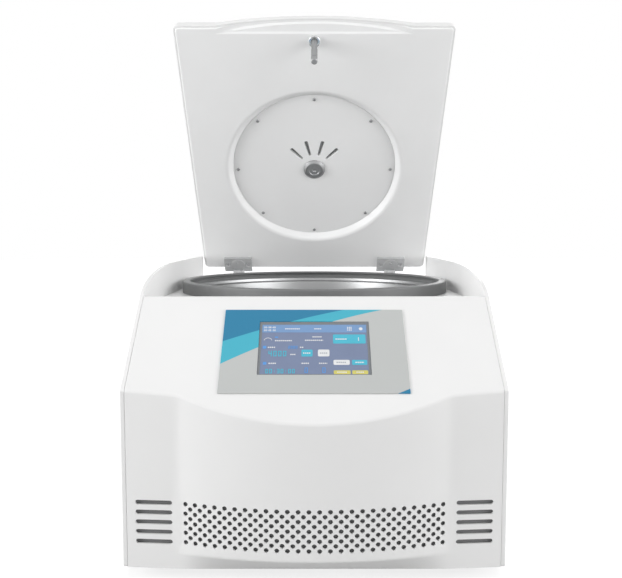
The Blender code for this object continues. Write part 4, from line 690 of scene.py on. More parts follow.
def add_rotor():
    low, top, dish, bore = 161 * MM, 262 * MM, 256 * MM, 8.3 * MM
    line = [(bore, low), (116 * MM, low), (116 * MM, low + 16 * MM), (78 * MM, top), (68 * MM, top),
            (67 * MM, top - 0.8 * MM), (65.4 * MM, top - 0.8 * MM), (64.4 * MM, top), (26 * MM, top),
            (26 * MM, dish), (bore, dish)]
    sizes = [0, 3, 3, 3, 0.3, 0.3, 0.3, 0.3, 0.8, 1, 0.3]
    shape = turned(rounded(line, [size * MM for size in sizes], 4), 96)
    punches = []
    for k in range(6):
        punch = rod(15 * MM, -78 * MM, 20 * MM, 48, edge=4 * MM)
        leaning = moved(punch, (54 * MM, 0, 0), -math.radians(26), "Y")
        punches.append(moved(leaning, (0, 0, top), k * math.tau / 6))
    piece("angle_rotor", combined(shape, together(punches)), ALUMINIUM, "rotor", CHAMBER_FRAME,
          ("rotor",), edge=0.8 * MM, steps=2, angle=36)
    line = [(4.8 * MM, 256.3 * MM), (15.4 * MM, 256.3 * MM), (16 * MM, 257 * MM), (16 * MM, 270.3 * MM),
            (13.6 * MM, 273.3 * MM), (7 * MM, 273.3 * MM), (6.2 * MM, 272.3 * MM), (0, 272.3 * MM),
            (0, 266.3 * MM), (4.8 * MM, 266.3 * MM)]
    nut = turned(rounded(line, [0, 0.3 * MM, 0.3 * MM, 1 * MM, 1 * MM, 0.3 * MM, 0.3 * MM, 0, 0, 0], 3), 96)
    grips = []
    for k in range(18):
        grip = rod(0.9 * MM, 259 * MM, 275 * MM, 16)
        grips.append(moved(moved(grip, (16.3 * MM, 0, 0)), (0, 0, 0), k * math.tau / 18))
    piece("knurled_rotor_nut", combined(nut, together(grips)), CHROME, "nut", CHAMBER_FRAME,
          ("rotor_nut",))


# Lid


LIP = 9 * MM
LIP_HALF = 133 * MM
LIP_STEP = 2.8 * MM
SCOOP_EDGE = LID_FRONT + 10.8 * MM
SCOOP_RADIUS = 639.3 * MM
SCOOP_CENTRE = SCOOP_EDGE - 14.2 * MM + SCOOP_RADIUS
SLOT_ANGLES = (-44.5, -14.8, 14.8, 44.5)


def lid_outline(drawn, corner_steps=8, lip_steps=40):
    """The lid seen from above, with its bowed front lip, drawn in by a distance."""
    quarter = math.pi / 2
    half, front, back = LID_HALF - drawn, LID_FRONT + drawn, LID_BACK - drawn
    corner = max(7 * MM - drawn, 1 * MM)
    radius = (LIP_HALF**2 + LIP**2) / (2 * LIP)
    centre = LID_FRONT - LIP + radius
    spread_angle = math.acos((centre - front) / (radius - drawn))
    line = []
    for k, (x, y) in enumerate(((half - corner, back - corner), (corner - half, back - corner),
                                (corner - half, front + corner))):
        line += arc((x, y), corner, k * quarter, (k + 1) * quarter, corner_steps)
    line += arc((0, centre), radius - drawn, 3 * quarter - spread_angle, 3 * quarter + spread_angle, lip_steps)
    return line + arc((half - corner, front + corner), corner, 3 * quarter, 4 * quarter, corner_steps)


def scoop_arc(outset, edge, steps=40):
    """The scoop's bowed side, moved out by a distance and ended at a straight edge."""
    reach = SCOOP_RADIUS + outset
    spread_angle = math.acos((SCOOP_CENTRE - edge) / reach)
    down = 3 * math.pi / 2
    return arc((0, SCOOP_CENTRE), reach, down - spread_angle, down + spread_angle, steps)


def lip_share(x):
    """How far the lip is set back at x: fully in the middle, not at all at the ends of the scoop."""
    t = min(max((133 * MM - abs(x)) / (34 * MM), 0), 1)
    return t * t * (3 - 2 * t)


def round_edge(drawn, steps=12):
    """Drawn-in distances and heights up the lid's round top edge, or up a parallel edge inside it."""
    radius = LID_EDGE - drawn
    return [(LID_EDGE - y, LID_TOP - LID_EDGE + z) for y, z in arc((0, 0), radius, 0, math.pi / 2, steps)]


def add_lid_shell():
    levels = round_edge(LID_WALL)[::-1]
    rim = LID_FACE + 1.9 * MM
    levels += [(LID_WALL, rim + 0.1 * MM), (2.9 * MM, rim), (1.2 * MM, rim), (0.35 * MM, rim + 0.35 * MM),
               (0, rim + 1.2 * MM)]
    levels += round_edge(0)
    loops = []
    for drawn, z in levels:
        step = LIP_STEP if z < LID_FACE + 4 * MM else 0
        loops.append([(x, y, z + (step * lip_share(x) if y < LID_FRONT + drawn + 1e-5 else 0))
                      for x, y in lid_outline(drawn)])
    piece("lid_cover", lofted(loops), LID_PAINT, "lid", LID_FRAME, ("lid_shell",), angle=40)


def add_lid_panel():
    """The inner panel, with the round recess for the liner and the finger scoop under the lip."""
    low, top = LID_FACE, LID_FACE + 3 * MM
    plate = prism(lid_outline(3.08 * MM), low, top, low_edge=1.8 * MM)
    front = block((-150 * MM, 150 * MM), (LID_FRONT - 20 * MM, SCOOP_EDGE + 2 * MM), (low + 2 * MM, low + 7 * MM))
    front = combined(front, prism(lid_outline(3.08 * MM), low, low + 9 * MM), "INTERSECT")
    plate = combined(plate, front, "UNION")
    depth = low + 12.5 * MM
    cup = [(0, low + 1.5 * MM), (137 * MM, low + 1.5 * MM), (137 * MM, low + 2.3 * MM), (127.5 * MM, low + 10.6 * MM),
           (127.5 * MM, depth + 3 * MM), (0, depth + 3 * MM)]
    plate = combined(plate, moved(turned(cup, 128), (0, LINER_Y, 0)), "UNION")
    cone = rounded([(145 * MM, low), (134 * MM, low), (125.9 * MM, low + 9.2 * MM), (125.9 * MM, depth), (0, depth)],
                   [0, 9 * MM, 0.4 * MM, 0.4 * MM, 0], 8, closed=False)[1:]
    mouth = [(0, low - 2 * MM), (cone[0][0], low - 2 * MM)] + cone
    plate = combined(plate, moved(turned(mouth, 160), (0, LINER_Y, 0)))
    scoop = []
    for drawn, depth, tilt in ((0, -2, 0), (0, 0.05, 0), (0.6, 0.3, 0), (2.2, 1.6, 0), (3, 1.8, 0.07)):
        edge = SCOOP_EDGE - drawn * MM
        scoop.append([(x, y, low + depth * MM + tilt * (edge - y)) for x, y in scoop_arc(0, edge)])
    plate = combined(combined(plate, lofted(scoop)), lip_cut(low))
    holes = [rod(4.5 * MM, low - 2 * MM, top + 2 * MM, 40, (0, STRIKER_Y, 0))]
    holes += [tapered_slot(math.radians(angle), low + 11 * MM, low + 17 * MM) for angle in SLOT_ANGLES]
    piece("lid_lining", combined(plate, together(holes)), LID_PLASTIC, "lid", LID_FRAME,
          ("lid_inner_panel",), angle=36)


def lip_cut(low):
    """What sets the lip back from the scoop. Its depth fades out towards the ends of the scoop."""
    loops = []
    for x, y in scoop_arc(0, SCOOP_EDGE - 0.5 * MM, 48):
        out = Vector((x, y - SCOOP_CENTRE)).normalized()
        deep = 4.7 * MM * lip_share(x) + 0.02 * MM
        section = [(-1.2 * MM, -1 * MM), (14 * MM, -1 * MM), (14 * MM, deep), (1.1 * MM, deep), (0.2 * MM, deep * 0.85),
                   (-1.2 * MM, deep * 0.54)]
        loops.append([(x + out.x * far, y + out.y * far, low + z) for far, z in section])
    return lofted(loops)


def tapered_slot(turn, low, high):
    near, far = 1.8 * MM, 2.95 * MM
    line = [(-near, -25.2 * MM), (near, -25.2 * MM), (far, -51.2 * MM), (-far, -51.2 * MM)]
    line = rounded(line, [1.6 * MM, 1.6 * MM, 2.6 * MM, 2.6 * MM], 6)
    return moved(prism(line, low, high), (0, LINER_Y, 0), turn)


def add_liner():
    low, top = LID_FACE + 9.2 * MM, LID_FACE + 12.2 * MM
    line = rounded([(0, low), (125.6 * MM, low), (125.6 * MM, top), (0, top)], [0, 0.6 * MM, 0.4 * MM, 0], 5)
    disc = moved(turned(line, 160), (0, LINER_Y, 0))
    cuts = [tapered_slot(math.radians(angle), low - 2 * MM, top + 2 * MM) for angle in SLOT_ANGLES]
    cuts.append(rod(6.3 * MM, low - 2 * MM, top + 2 * MM, 32, (0, LINER_Y, 0)))
    piece("liner_disc", combined(disc, together(cuts)), LINER, "lid", LID_FRAME,
          ("lid_liner_disc",), edge=0.4 * MM, angle=36)
    seat = low - CLEAR
    for k in range(8):
        x, y = 118.8 * MM * math.cos(k * math.tau / 8), LINER_Y + 118.8 * MM * math.sin(k * math.tau / 8)
        add_screw(f"liner_fastener_{k + 1}", (x, y, seat), f"liner_screw_{k + 1}", k * 0.7)
    line = [(0, seat + 3.3 * MM), (6 * MM, seat + 3.3 * MM), (6 * MM, seat), (16.5 * MM, seat),
            (16.5 * MM, seat - 1.4 * MM), (12.9 * MM, seat - 3.6 * MM), (11.5 * MM, seat - 4 * MM),
            (8.2 * MM, seat - 4 * MM), (7.4 * MM, seat - 3.3 * MM), (2.6 * MM, seat - 3.3 * MM),
            (2 * MM, seat - 2.7 * MM), (0, seat - 2.7 * MM)]
    sizes = [0, 0, 0.3, 0.4, 0.8, 0.6, 0.6, 0.4, 0.4, 0.3, 0.3, 0]
    line = rounded(line, [size * MM for size in sizes], 4)
    piece("boss_knob", turned(line, 96), BOSS_METAL, "lid",
          LID_FRAME @ Matrix.Translation((0, LINER_Y, 0)), ("lid_boss",))


def add_screw(name, spot, stands_for, turn):
    """A pan head screw with a cross recess, its head towards the chamber."""
    line = [(0, 4.8 * MM), (1.5 * MM, 4.8 * MM), (1.5 * MM, 0), (2.6 * MM, 0), (2.5 * MM, -0.8 * MM),
            (1.7 * MM, -1.5 * MM), (0, -1.7 * MM)]
    head = turned(rounded(line, [0, 0, 0.2 * MM, 0.2 * MM, 0.6 * MM, 0.8 * MM, 0], 3), 32)
    bars = [block((-1.5 * MM, 1.5 * MM), (-0.32 * MM, 0.32 * MM), (-2.4 * MM, -0.9 * MM)),
            moved(block((-1.5 * MM, 1.5 * MM), (-0.32 * MM, 0.32 * MM), (-2.4 * MM, -0.9 * MM)), turn=math.pi / 2)]
    cross = combined(*bars, "UNION")
    shape = moved(combined(head, cross), turn=turn)
    piece(name, shape, BOSS_METAL, "lid", LID_FRAME @ Matrix.Translation(spot), (stands_for,))


def add_striker():
    top, neck_top, neck_low, tip = 10.5 * MM, -49.5 * MM, -54.5 * MM, -60.5 * MM
    radius, neck, shank, step = 4.2 * MM, 3.5 * MM, 3.85 * MM, -24.6 * MM
    line = [(0, top), (shank, top), (shank, step), (radius, step), (radius, neck_top), (neck, neck_top), (neck, neck_low), (radius, neck_low),
            (radius, tip + 0.8 * MM), (radius - 0.8 * MM, tip), (0, tip)]
    line = rounded(line, [0, 0, 0.2 * MM, 0.15 * MM, 0.2 * MM, 0.2 * MM, 0.2 * MM, 0.2 * MM, 0.4 * MM, 0.4 * MM, 0], 3)
    place = LID_FRAME @ Matrix.Translation((0, STRIKER_Y, 0))
    piece("striker_pin", turned(line, 48), SATIN_METAL, "lid", place, ("lid_striker",))
    seat, bore = LID_FACE - CLEAR, 4.5 * MM
    line = [(bore, seat), (8.25 * MM, seat), (8.25 * MM, seat - 2.5 * MM), (bore, seat - 2.5 * MM)]
    piece("striker_collar", turned(rounded(line, [0.2 * MM, 0.2 * MM, 0.9 * MM, 0.4 * MM], 4), 64), CHROME, "lid",
          place, ("striker_flange",))


# Hinges


def add_hinge(name, x):
    """A light seat with two lugs on the deck, and a grey plate with a round boss and a light bush on the lid."""
    half, barrel = 23.5 * MM, 6.5 * MM
    low, leaf = DECK_Z + CLEAR, 4.5 * MM
    back = HINGE_Y + barrel
    seat = block((x - half, x + half), (HINGE_Y - 33 * MM, back), (low, low + leaf), corner=1.5 * MM)
    lug = arc((HINGE_Y, HINGE_Z), barrel, 0, math.pi, 24) + [(HINGE_Y - barrel, low), (back, low)]
    for start in (x - 9 * MM, x + 4.8 * MM):
        seat = combined(seat, prism(lug, start, start + 4.2 * MM, "X"), "UNION")
    pin_hole = rod(2.8 * MM, -30 * MM, 30 * MM, 32, (x, HINGE_Y, HINGE_Z), "X")
    piece(f"hinge_seat_{name}", combined(seat, pin_hole), HINGE_LIGHT, "housing",
          stands_for=(f"hinge_base_{name}",), edge=0.7 * MM)
    pin = rod(2.5 * MM, -9.4 * MM, 9.4 * MM, 32, along="X", edge=0.6 * MM)
    piece(f"hinge_axle_{name}", pin, STEEL, "housing", Matrix.Translation((x, HINGE_Y, HINGE_Z)),
          (f"hinge_pin_{name}",))
    add_hinge_plate(name, x, half, LID_FACE - CLEAR - leaf, LID_FACE - CLEAR)
    middle = 4.4 * MM
    bush = combined(block((x - middle, x + middle), (-6.7 * MM, 0), (LID_FACE - CLEAR - leaf, LID_FACE - CLEAR)),
                    rod(barrel, -middle, middle, 48, (x, 0, 0), "X"), "UNION")
    piece(f"hinge_bush_{name}", combined(bush, rod(2.8 * MM, -half, half, 32, (x, 0, 0), "X")), HINGE_LIGHT, "lid",
          LID_FRAME, edge=0.5 * MM)


def add_hinge_plate(name, x, half, low, top):
    back, inner = -6.9 * MM, 9.6 * MM
    plate = block((x - half, x + half), (-31.8 * MM, back), (low, top), corner=1.5 * MM)
    tongue = [(back - 2 * MM, low), (-0.5 * MM, low + 3.2 * MM), (-0.5 * MM, top), (back - 2 * MM, top)]
    for start in (x - half, x + inner):
        plate = combined(plate, prism(tongue, start, start + half - inner, "X"), "UNION")
    boss = moved(rod(11.5 * MM, low - 1.2 * MM, low + 1 * MM, 64, edge=0.9 * MM), (x, -18.2 * MM, 0))
    plate = combined(plate, boss, "UNION")
    sinks, heads = [], []
    for across in (-16.8 * MM, 16.8 * MM):
        cone = turned([(0, -1 * MM), (3.8 * MM, -1 * MM), (3.8 * MM, 0.3 * MM), (1.8 * MM, 2.6 * MM), (0, 2.6 * MM)], 32)
        sinks.append(moved(cone, (x + across, -17.5 * MM, low)))
        line = [(0, 2.6 * MM), (1.8 * MM, 2.6 * MM), (3.2 * MM, 1 * MM), (2.8 * MM, 0.7 * MM), (0, 0.5 * MM)]
        head = combined(turned(line, 32), prism(circle(1.4 * MM, 6), -1 * MM, 1.9 * MM))
        heads.append(moved(head, (x + across, -17.5 * MM, low)))
    heads.append(moved(turned([(0, -2 * MM), (1.2 * MM, -1.8 * MM), (1.9 * MM, -1.1 * MM), (0, -1.1 * MM)], 24),
                       (x, -22 * MM, low)))
    piece(f"hinge_plate_{name}", combined(plate, together(sinks)), HINGE_METAL, "lid", LID_FRAME,
          (f"hinge_leaf_{name}",), edge=0.7 * MM)
    piece(f"hinge_screws_{name}", together(heads), STEEL, "lid", LID_FRAME)


# Control panel, in the frame of the slope: x across, y up the slope, z out of it

LABEL = (-99.3 * MM, 98.5 * MM, 2 * MM, 112 * MM)
SCREEN = (-59.8 * MM, 59.8 * MM, 25 * MM, 94.8 * MM)
GLASS_Z = 0.5 * MM
SEGMENTS = {"0": "abcdef", "1": "bc", "2": "abged", "3": "abgcd", "4": "fgbc", "5": "afgcd", "6": "afgedc",
            "7": "abc", "8": "abcdefg", "9": "abcdfg", "-": "g"}


def banded_film():
    """Pale grey film with two broad bands that sweep up to the right, and one small corner in the same blue."""
    made = material("label_film", (0.505, 0.52, 0.513), 0.42, tone=0.01, grain=1500, height=0.006,
                    Specular_IOR_Level=0.25)
    tree = made.node_tree
    shader = tree.nodes["Principled BSDF"]
    ground = shader.inputs["Base Color"].links[0].from_socket
    place = node(tree, "SeparateXYZ", {0: node(tree, "TexCoord").outputs["Object"]})
    x = node(tree, "Math", {0: place.outputs["X"], 1: 1 / MM}, operation="MULTIPLY").outputs[0]
    y = node(tree, "Math", {0: place.outputs["Y"], 1: 1 / MM}, operation="MULTIPLY").outputs[0]
    colour = ground
    for level, slope, bend, tint in ((87.5, 0.395, -0.00099, (0.065, 0.43, 0.555)),
                                     (103.0, 0.289, -0.00064, (0.025, 0.205, 0.36))):
        square = node(tree, "Math", {0: x, 1: x}, operation="MULTIPLY").outputs[0]
        curve = node(tree, "Math", {0: square, 1: bend, 2: level}, operation="MULTIPLY_ADD").outputs[0]
        edge = node(tree, "Math", {0: x, 1: slope, 2: curve}, operation="MULTIPLY_ADD").outputs[0]
        over = node(tree, "Math", {0: y, 1: edge}, operation="SUBTRACT").outputs[0]
        mask = node(tree, "MapRange", {"Value": over, "From Min": -0.1, "From Max": 0.1}).outputs[0]
        colour = blend(tree, mask, colour, tint)
    corner = node(tree, "Math", {0: x, 1: 0.46, 2: -37.5}, operation="MULTIPLY_ADD").outputs[0]
    under = node(tree, "Math", {0: corner, 1: y}, operation="SUBTRACT").outputs[0]
    mask = node(tree, "MapRange", {"Value": under, "From Min": -0.1, "From Max": 0.1}).outputs[0]
    tree.links.new(blend(tree, mask, colour, (0.025, 0.205, 0.36)), shader.inputs["Base Color"])
    return made


def lit(name, colour, strength=0.12):
    """A lit part of the display: a glossy colour with a faint glow and a very fine grain."""
    made = material(name, colour, 0.2, tone=0.03, tone_scale=60, grain=2600, height=0.002, rough_spread=0.03,
                    Specular_IOR_Level=0.3)
    shader = made.node_tree.nodes["Principled BSDF"]
    shader.inputs["Emission Color"].default_value = (*colour, 1)
    shader.inputs["Emission Strength"].default_value = strength
    return made


def tile(left, right, low, high, corner=0.8 * MM, rise=0.1 * MM):
    outline = rounded(rectangle(left, right, low, high), corner, 3) if corner else rectangle(left, right, low, high)
    return prism(outline, GLASS_Z - 0.1 * MM, GLASS_Z + rise)


def segment_digit(kind, left, low, width, height, stroke, rise):
    """One digit in seven straight strokes."""
    middle = low + height / 2
    right, top = left + width, low + height
    boxes = {"a": (left, right, top - stroke, top), "g": (left, right, middle - stroke / 2, middle + stroke / 2),
             "d": (left, right, low, low + stroke), "f": (left, left + stroke, middle, top),
             "b": (right - stroke, right, middle, top), "e": (left, left + stroke, low, middle),
             "c": (right - stroke, right, low, middle)}
    if kind == ":":
        dot = (left + width / 2 - stroke / 2, left + width / 2 + stroke / 2)
        return [tile(*dot, z, z + stroke, 0, rise) for z in (low + height * 0.25, low + height * 0.65)]
    shapes = []
    for k, name in enumerate(SEGMENTS[kind]):
        left_edge, right_edge, low_edge, high_edge = boxes[name]
        shapes.append(tile(left_edge, right_edge, low_edge, high_edge, 0, rise + k * 0.002 * MM))
    return shapes


def number(text, left, low, height, stroke=0.7, rise=0.16 * MM):
    """A row of digits. The left, low, height and stroke are in millimetres."""
    shapes, width = [], height * 0.52
    for k, kind in enumerate(text):
        shapes += segment_digit(kind, (left + k * width * 1.42) * MM, low * MM, width * MM, height * MM,
                                stroke * MM, rise)
    return shapes


def bars(rows, rise=0.14 * MM):
    """Short strokes in the place of small lettering: (left, low, width) in millimetres."""
    shapes = []
    for left, low, width in rows:
        step, k = 2.1, 0
        while k * step < width:
            end = min(k * step + 1.5, width)
            shapes.append(tile((left + k * step) * MM, (left + end) * MM, low * MM, (low + 1.5) * MM, 0.3 * MM, rise))
            k += 1
    return shapes


def tiles(rows, corner=1.2, rise=0.1 * MM):
    return [tile(left * MM, right * MM, low * MM, high * MM, corner * MM, rise) for left, right, low, high in rows]


def add_label():
    film = prism(rounded(rectangle(*LABEL), 0.8 * MM), CLEAR, 1.1 * MM, edge=0.15 * MM)
    left, right, low, high = SCREEN
    gap = 0.3 * MM
    film = combined(film, block((left - gap, right + gap), (low - gap, high + gap), (-2 * MM, 3 * MM),
                                corner=1.2 * MM))
    piece("panel_label", film, banded_film(), "housing", SLOPE_FRAME, ("control_label",))


def add_display():
    left, right, low, high = SCREEN
    rim = 6 * MM
    body = block((left - rim, right + rim), (low - rim, high + rim), (-11.8 * MM, -2.8 * MM), edge=0.8 * MM)
    front = block((left, right), (low, high), (-7 * MM, GLASS_Z), edge=0.3 * MM, corner=1 * MM)
    body = combined(body, front, "UNION")
    piece("display_unit", body, lit("display_ground", (0.152, 0.193, 0.305)), "housing",
          SLOPE_FRAME, ("display_module",))
    ring = prism(rounded(rectangle(*SCREEN), 1 * MM), GLASS_Z - 0.2 * MM, GLASS_Z + 0.12 * MM)
    inner = rounded(rectangle(left + 2.6 * MM, right - 2.6 * MM, low + 0.9 * MM, high - 3.6 * MM), 0.4 * MM)
    frame_finish = material("display_grey_edge", (0.15, 0.165, 0.18), 0.3, tone=0.05, grain=1500, height=0.005)
    piece("display_edge", combined(ring, prism(inner, -1 * MM, 2 * MM)), frame_finish, "housing",
          SLOPE_FRAME)
    parts = {
        "header": ((0.15, 0.27, 0.48), tiles([(-57, 57, 80.4, 91)], 0)),
        "cyan": ((0.05, 0.40, 0.53), tiles([(20.3, 55.6, 65.4, 77.6), (39.9, 56, 37.6, 44), (-13.8, -1.8, 48.3, 57.3)])
                 + number("4000", -49, 48.6, 7, 1) + number("00:30:00", -51.2, 27, 5.4, 0.8)),
        "white": ((0.66, 0.67, 0.68), tiles([(3.9, 16.2, 48.5, 57.4), (20.3, 37.5, 37.6, 44)], 1.6)
                  + number("00-00-00", -55, 86.2, 2.2, 0.4) + number("00:00:00", -55, 82.2, 2.2, 0.4)
                  + bars([(-32, 84.6, 16), (0, 84.6, 7.5), (-42.5, 68.5, 18), (-2, 73.6, 10), (-10, 69, 19.5),
                          (-50, 59.6, 8.4), (-15.4, 59.6, 4), (-25.6, 50.2, 5.4), (-48.4, 38.8, 8.2),
                          (-13.5, 38.8, 8), (5, 38.8, 8.8), (23, 70.6, 12)])
                  + number("1", 46, 69, 4.6, 0.8) + bars([(-12, 52, 8), (43.5, 40, 9), (24, 27.6, 10), (44, 27.6, 8)],
                                                        0.18 * MM)),
        "blue": ((0.08, 0.26, 0.60), number("2000", -28, 58.7, 3.6, 0.6) + number("0", -10.2, 27.6, 6.6, 0.9)
                 + number("0", 8.4, 27.6, 6.6, 0.9) + tiles([(-55.3, -51.6, 58.7, 62.4), (-54.3, -50.6, 37.9, 41.4),
                                                            (-43, -39.2, 73.2, 74.8)], 0.5)),
        "yellow": ((0.55, 0.50, 0.12), tiles([(20.3, 38, 25.9, 30.7), (39.7, 56.5, 25.9, 30.7)])),
        "grey": ((0.34, 0.36, 0.40), bars([(6, 52, 8), (23.5, 40, 10.5)], 0.18 * MM)),
    }
    for name, (colour, shapes) in parts.items():
        piece(f"display_{name}", together(shapes), lit(f"display_{name}", colour), "housing",
              SLOPE_FRAME)
    marks = [tube_arc(4.6 * MM, math.radians(15), math.radians(165), (-50.2 * MM, 68.6 * MM))]
    marks.append(moved(rod(2 * MM, GLASS_Z, GLASS_Z + 0.14 * MM, 32), (51 * MM, 85.4 * MM, 0)))
    for k in range(9):
        x, y = 36 + 1.9 * (k % 3), 83 + 1.9 * (k // 3)
        marks.append(tile(x * MM, (x + 1.2) * MM, y * MM, (y + 1.2) * MM, 0.2 * MM, 0.14 * MM))
    piece("display_marks", together(marks), lit("display_marks", (0.66, 0.67, 0.68)), "housing",
          SLOPE_FRAME)


def tube_arc(radius, start, end, centre):
    """A thin flat arc on the glass."""
    line = arc(centre, radius, start, end, 20) + arc(centre, radius - 0.5 * MM, start, end, 20)[::-1]
    return prism(line, GLASS_Z - 0.1 * MM, GLASS_Z + 0.14 * MM)


# Rear panel and its fittings


def stadium(middle, half_length, half_height, low, high):
    """A slot with round ends along X, cut through along Y."""
    (x, z), run = middle, half_length - half_height
    quarter = math.pi / 2
    line = arc((x + run, z), half_height, -quarter, quarter, 8) + arc((x - run, z), half_height, quarter, 3 * quarter, 8)
    return prism(line, low, high, "Y")


def add_rear_panel():
    edge = INNER_X - CLEAR
    inner = REAR_FACE_Y - 2 * MM
    sheet = block((-edge, edge), (inner, REAR_FACE_Y), (FLOOR_Z, DECK_UNDER_Z - CLEAR), edge=0.4 * MM, along="Y")
    reach = (inner - 2 * MM, REAR_FACE_Y + 2 * MM)
    slots = []
    for row in range(-4, 5):
        half = math.sqrt((39.5 * MM) ** 2 - (row * 8 * MM) ** 2)
        slots.append(stadium((-88 * MM, 124 * MM + row * 8 * MM), half, 2 * MM, *reach))
    for row in range(8):
        slots.append(stadium((88 * MM, 179 * MM + row * 9 * MM), 35 * MM, 2 * MM, *reach))
    for x, z, half_width, half_height in ((110, 56, 14.3, 10.3), (110, 100, 7.3, 10.3), (160, 56, 7.3, 7.3)):
        slots.append(block(((x - half_width) * MM, (x + half_width) * MM), reach,
                           ((z - half_height) * MM, (z + half_height) * MM)))
    piece("rear_sheet", combined(sheet, together(slots)), PAINT, "housing",
          stands_for=("rear_panel",))
    spots = [(-88 + sx * 41.25, 124 + sz * 41.25) for sx in (-1, 1) for sz in (-1, 1)]
    spots += [(sx * 184, z) for sx in (-1, 1) for z in (26, 145, 262)]
    spots += [(0, 262), (0, 26), (91, 56), (129, 56)]
    heads = []
    for k, (x, z) in enumerate(spots):
        low = REAR_FACE_Y + (3.15 * MM if z == 56 else 0.05 * MM)
        line = rounded([(0, 0), (3.2 * MM, 0), (3.1 * MM, 1 * MM), (1.8 * MM, 1.7 * MM), (0, 1.8 * MM)],
                       [0, 0.2 * MM, 0.6 * MM, 0.6 * MM, 0], 3)
        head = turned(line, 28, "Y")
        bars_made = [block((-1.6 * MM, 1.6 * MM), (0.9 * MM, 2.6 * MM), (-0.35 * MM, 0.35 * MM)),
                     block((-0.35 * MM, 0.35 * MM), (0.9 * MM, 2.6 * MM), (-1.6 * MM, 1.6 * MM))]
        head = combined(head, combined(*bars_made, "UNION"))
        heads.append(moved(moved(head, turn=k * 0.9, axis="Y"), (x * MM, low, z * MM)))
    piece("rear_screws", together(heads), DARK_METAL, "housing")


def dress_nodes():
    """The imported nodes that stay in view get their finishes, and soft edges where they show."""
    finishes = {
        RAW_STEEL: ("base_plate", "guard_ring", "motor_plate", "lid_armour_plate"),
        BLACK_PLASTIC: ("fan_frame", "fan_impeller", "power_inlet", "switch_bezel", "switch_rocker", "fuse_holder",
                        "lock_housing"),
        BLACK_RUBBER: ("motor_mount_front_left", "motor_mount_front_right", "motor_mount_rear_left",
                       "motor_mount_rear_right", "spindle_boot"),
        CAST_METAL: ("motor_housing",),
        ALUMINIUM: ("drive_inverter", "power_supply"),
        STEEL: ("drive_spindle", "latch_bolt"),
        DARK_METAL: ("lock_solenoid",),
        BOARD: ("control_board",),
    }
    for finish, names in finishes.items():
        for name in names:
            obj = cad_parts[name]
            obj.data.materials.clear()
            obj.data.materials.append(finish)
            weld = obj.modifiers.new("one_surface", "WELD")
            weld.merge_threshold = 1e-6
            bevel = obj.modifiers.new("soft_edges", "BEVEL")
            bevel.limit_method = "ANGLE"
            bevel.angle_limit = math.radians(40)
            bevel.width = 0.4 * MM
            bevel.segments = 2
            normals = obj.modifiers.new("flat_faces", "WEIGHTED_NORMAL")
            normals.keep_sharp = True


# Stage


def seen_directly(tree):
    """One for camera, glossy and transmission rays, so glass and metal show the same backdrop as the camera."""
    rays = node(tree, "LightPath")
    seen = node(tree, "Math", {0: rays.outputs["Is Camera Ray"], 1: rays.outputs["Is Glossy Ray"]}, operation="MAXIMUM")
    return node(tree, "Math", {0: seen.outputs[0], 1: rays.outputs["Is Transmission Ray"]},
                operation="MAXIMUM").outputs[0]


def add_world():
    world = bpy.data.worlds.new("studio")
    bpy.context.scene.world = world
    world.use_nodes = True
    tree = world.node_tree
    strength = node(tree, "MapRange", {"Value": seen_directly(tree), "To Min": 0.37, "To Max": 1.0})
    background = tree.nodes["Background"]
    background.inputs["Color"].default_value = (1, 1, 1, 1)
    tree.links.new(strength.outputs[0], background.inputs["Strength"])


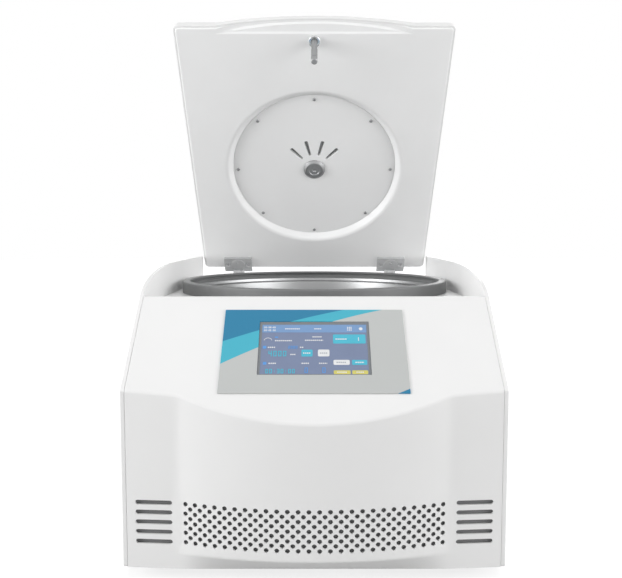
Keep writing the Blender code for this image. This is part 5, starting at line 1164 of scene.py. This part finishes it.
def add_floor():
    finish = material("studio_floor", (0.36, 0.36, 0.359), 0.8, tone=0.008, tone_scale=1.5, grain=160, height=0.02)
    tree = finish.node_tree
    shader = tree.nodes["Principled BSDF"]
    reach = node(tree, "VectorMath", {0: node(tree, "TexCoord").outputs["Object"]}, operation="LENGTH")
    glow = node(tree, "MapRange", {"Value": reach.outputs["Value"], "From Min": 0.5, "From Max": 2.2, "To Min": 0.72,
                                   "To Max": 1.0})
    glow = node(tree, "Math", {0: glow.outputs[0], 1: seen_directly(tree)}, operation="MULTIPLY")
    shader.inputs["Emission Color"].default_value = (1, 1, 1, 1)
    tree.links.new(glow.outputs[0], shader.inputs["Emission Strength"])
    mesh = bpy.data.meshes.new("floor")
    bm = bmesh.new()
    bmesh.ops.create_circle(bm, cap_ends=True, radius=9, segments=96)
    bm.to_mesh(mesh)
    bm.free()
    mesh.materials.append(finish)
    floor = bpy.data.objects.new("floor", mesh)
    bpy.context.scene.collection.objects.link(floor)


def add_lamp(name, place, aim, size, power):
    lamp = bpy.data.lights.new(name, "AREA")
    lamp.shape = "RECTANGLE"
    lamp.size, lamp.size_y = size
    lamp.energy = power
    made = bpy.data.objects.new(name, lamp)
    made.location = place
    made.rotation_euler = (Vector(aim) - Vector(place)).to_track_quat("-Z", "Y").to_euler()
    bpy.context.scene.collection.objects.link(made)


def add_stage():
    bpy.context.scene.view_settings.view_transform = "Standard"
    add_world()
    add_floor()
    add_lamp("top_softbox", (0, -0.5, 2.4), (0, 0, 0.25), (1.6, 1.2), 8)
    add_lamp("left_softbox", (-2.2, -0.9, 0.7), (0, 0, 0.35), (1.3, 1.6), 54)
    add_lamp("right_softbox", (2.2, -0.9, 0.7), (0, 0, 0.35), (2.2, 1.5), 49)
    add_lamp("rear_softbox", (0.3, 2.6, 1.4), (0, 0, 0.4), (1.6, 1.0), 30)


def add_camera():
    camera = bpy.data.cameras.new("camera")
    camera.sensor_width = 36
    camera.lens = 703 / 622 * 36
    camera.shift_x = -0.0053
    camera.clip_start = 0.01
    camera.clip_end = 40
    made = bpy.data.objects.new("camera", camera)
    made.location = (0, -962 * MM, 361 * MM)
    made.rotation_euler = (math.radians(90 - 4.6), 0, 0)
    bpy.context.scene.collection.objects.link(made)
    bpy.context.scene.camera = made
add_front_panel()
add_filter()
add_side_panels()
add_deck()
add_feet()
add_chamber()
add_rotor()
add_lid_shell()
add_lid_panel()
add_liner()
add_striker()
for name, side in (("left", -1), ("right", 1)):
    add_hinge(name, side * 131.5 * MM)
add_label()
add_display()
add_rear_panel()
dress_nodes()
add_stage()
add_camera()
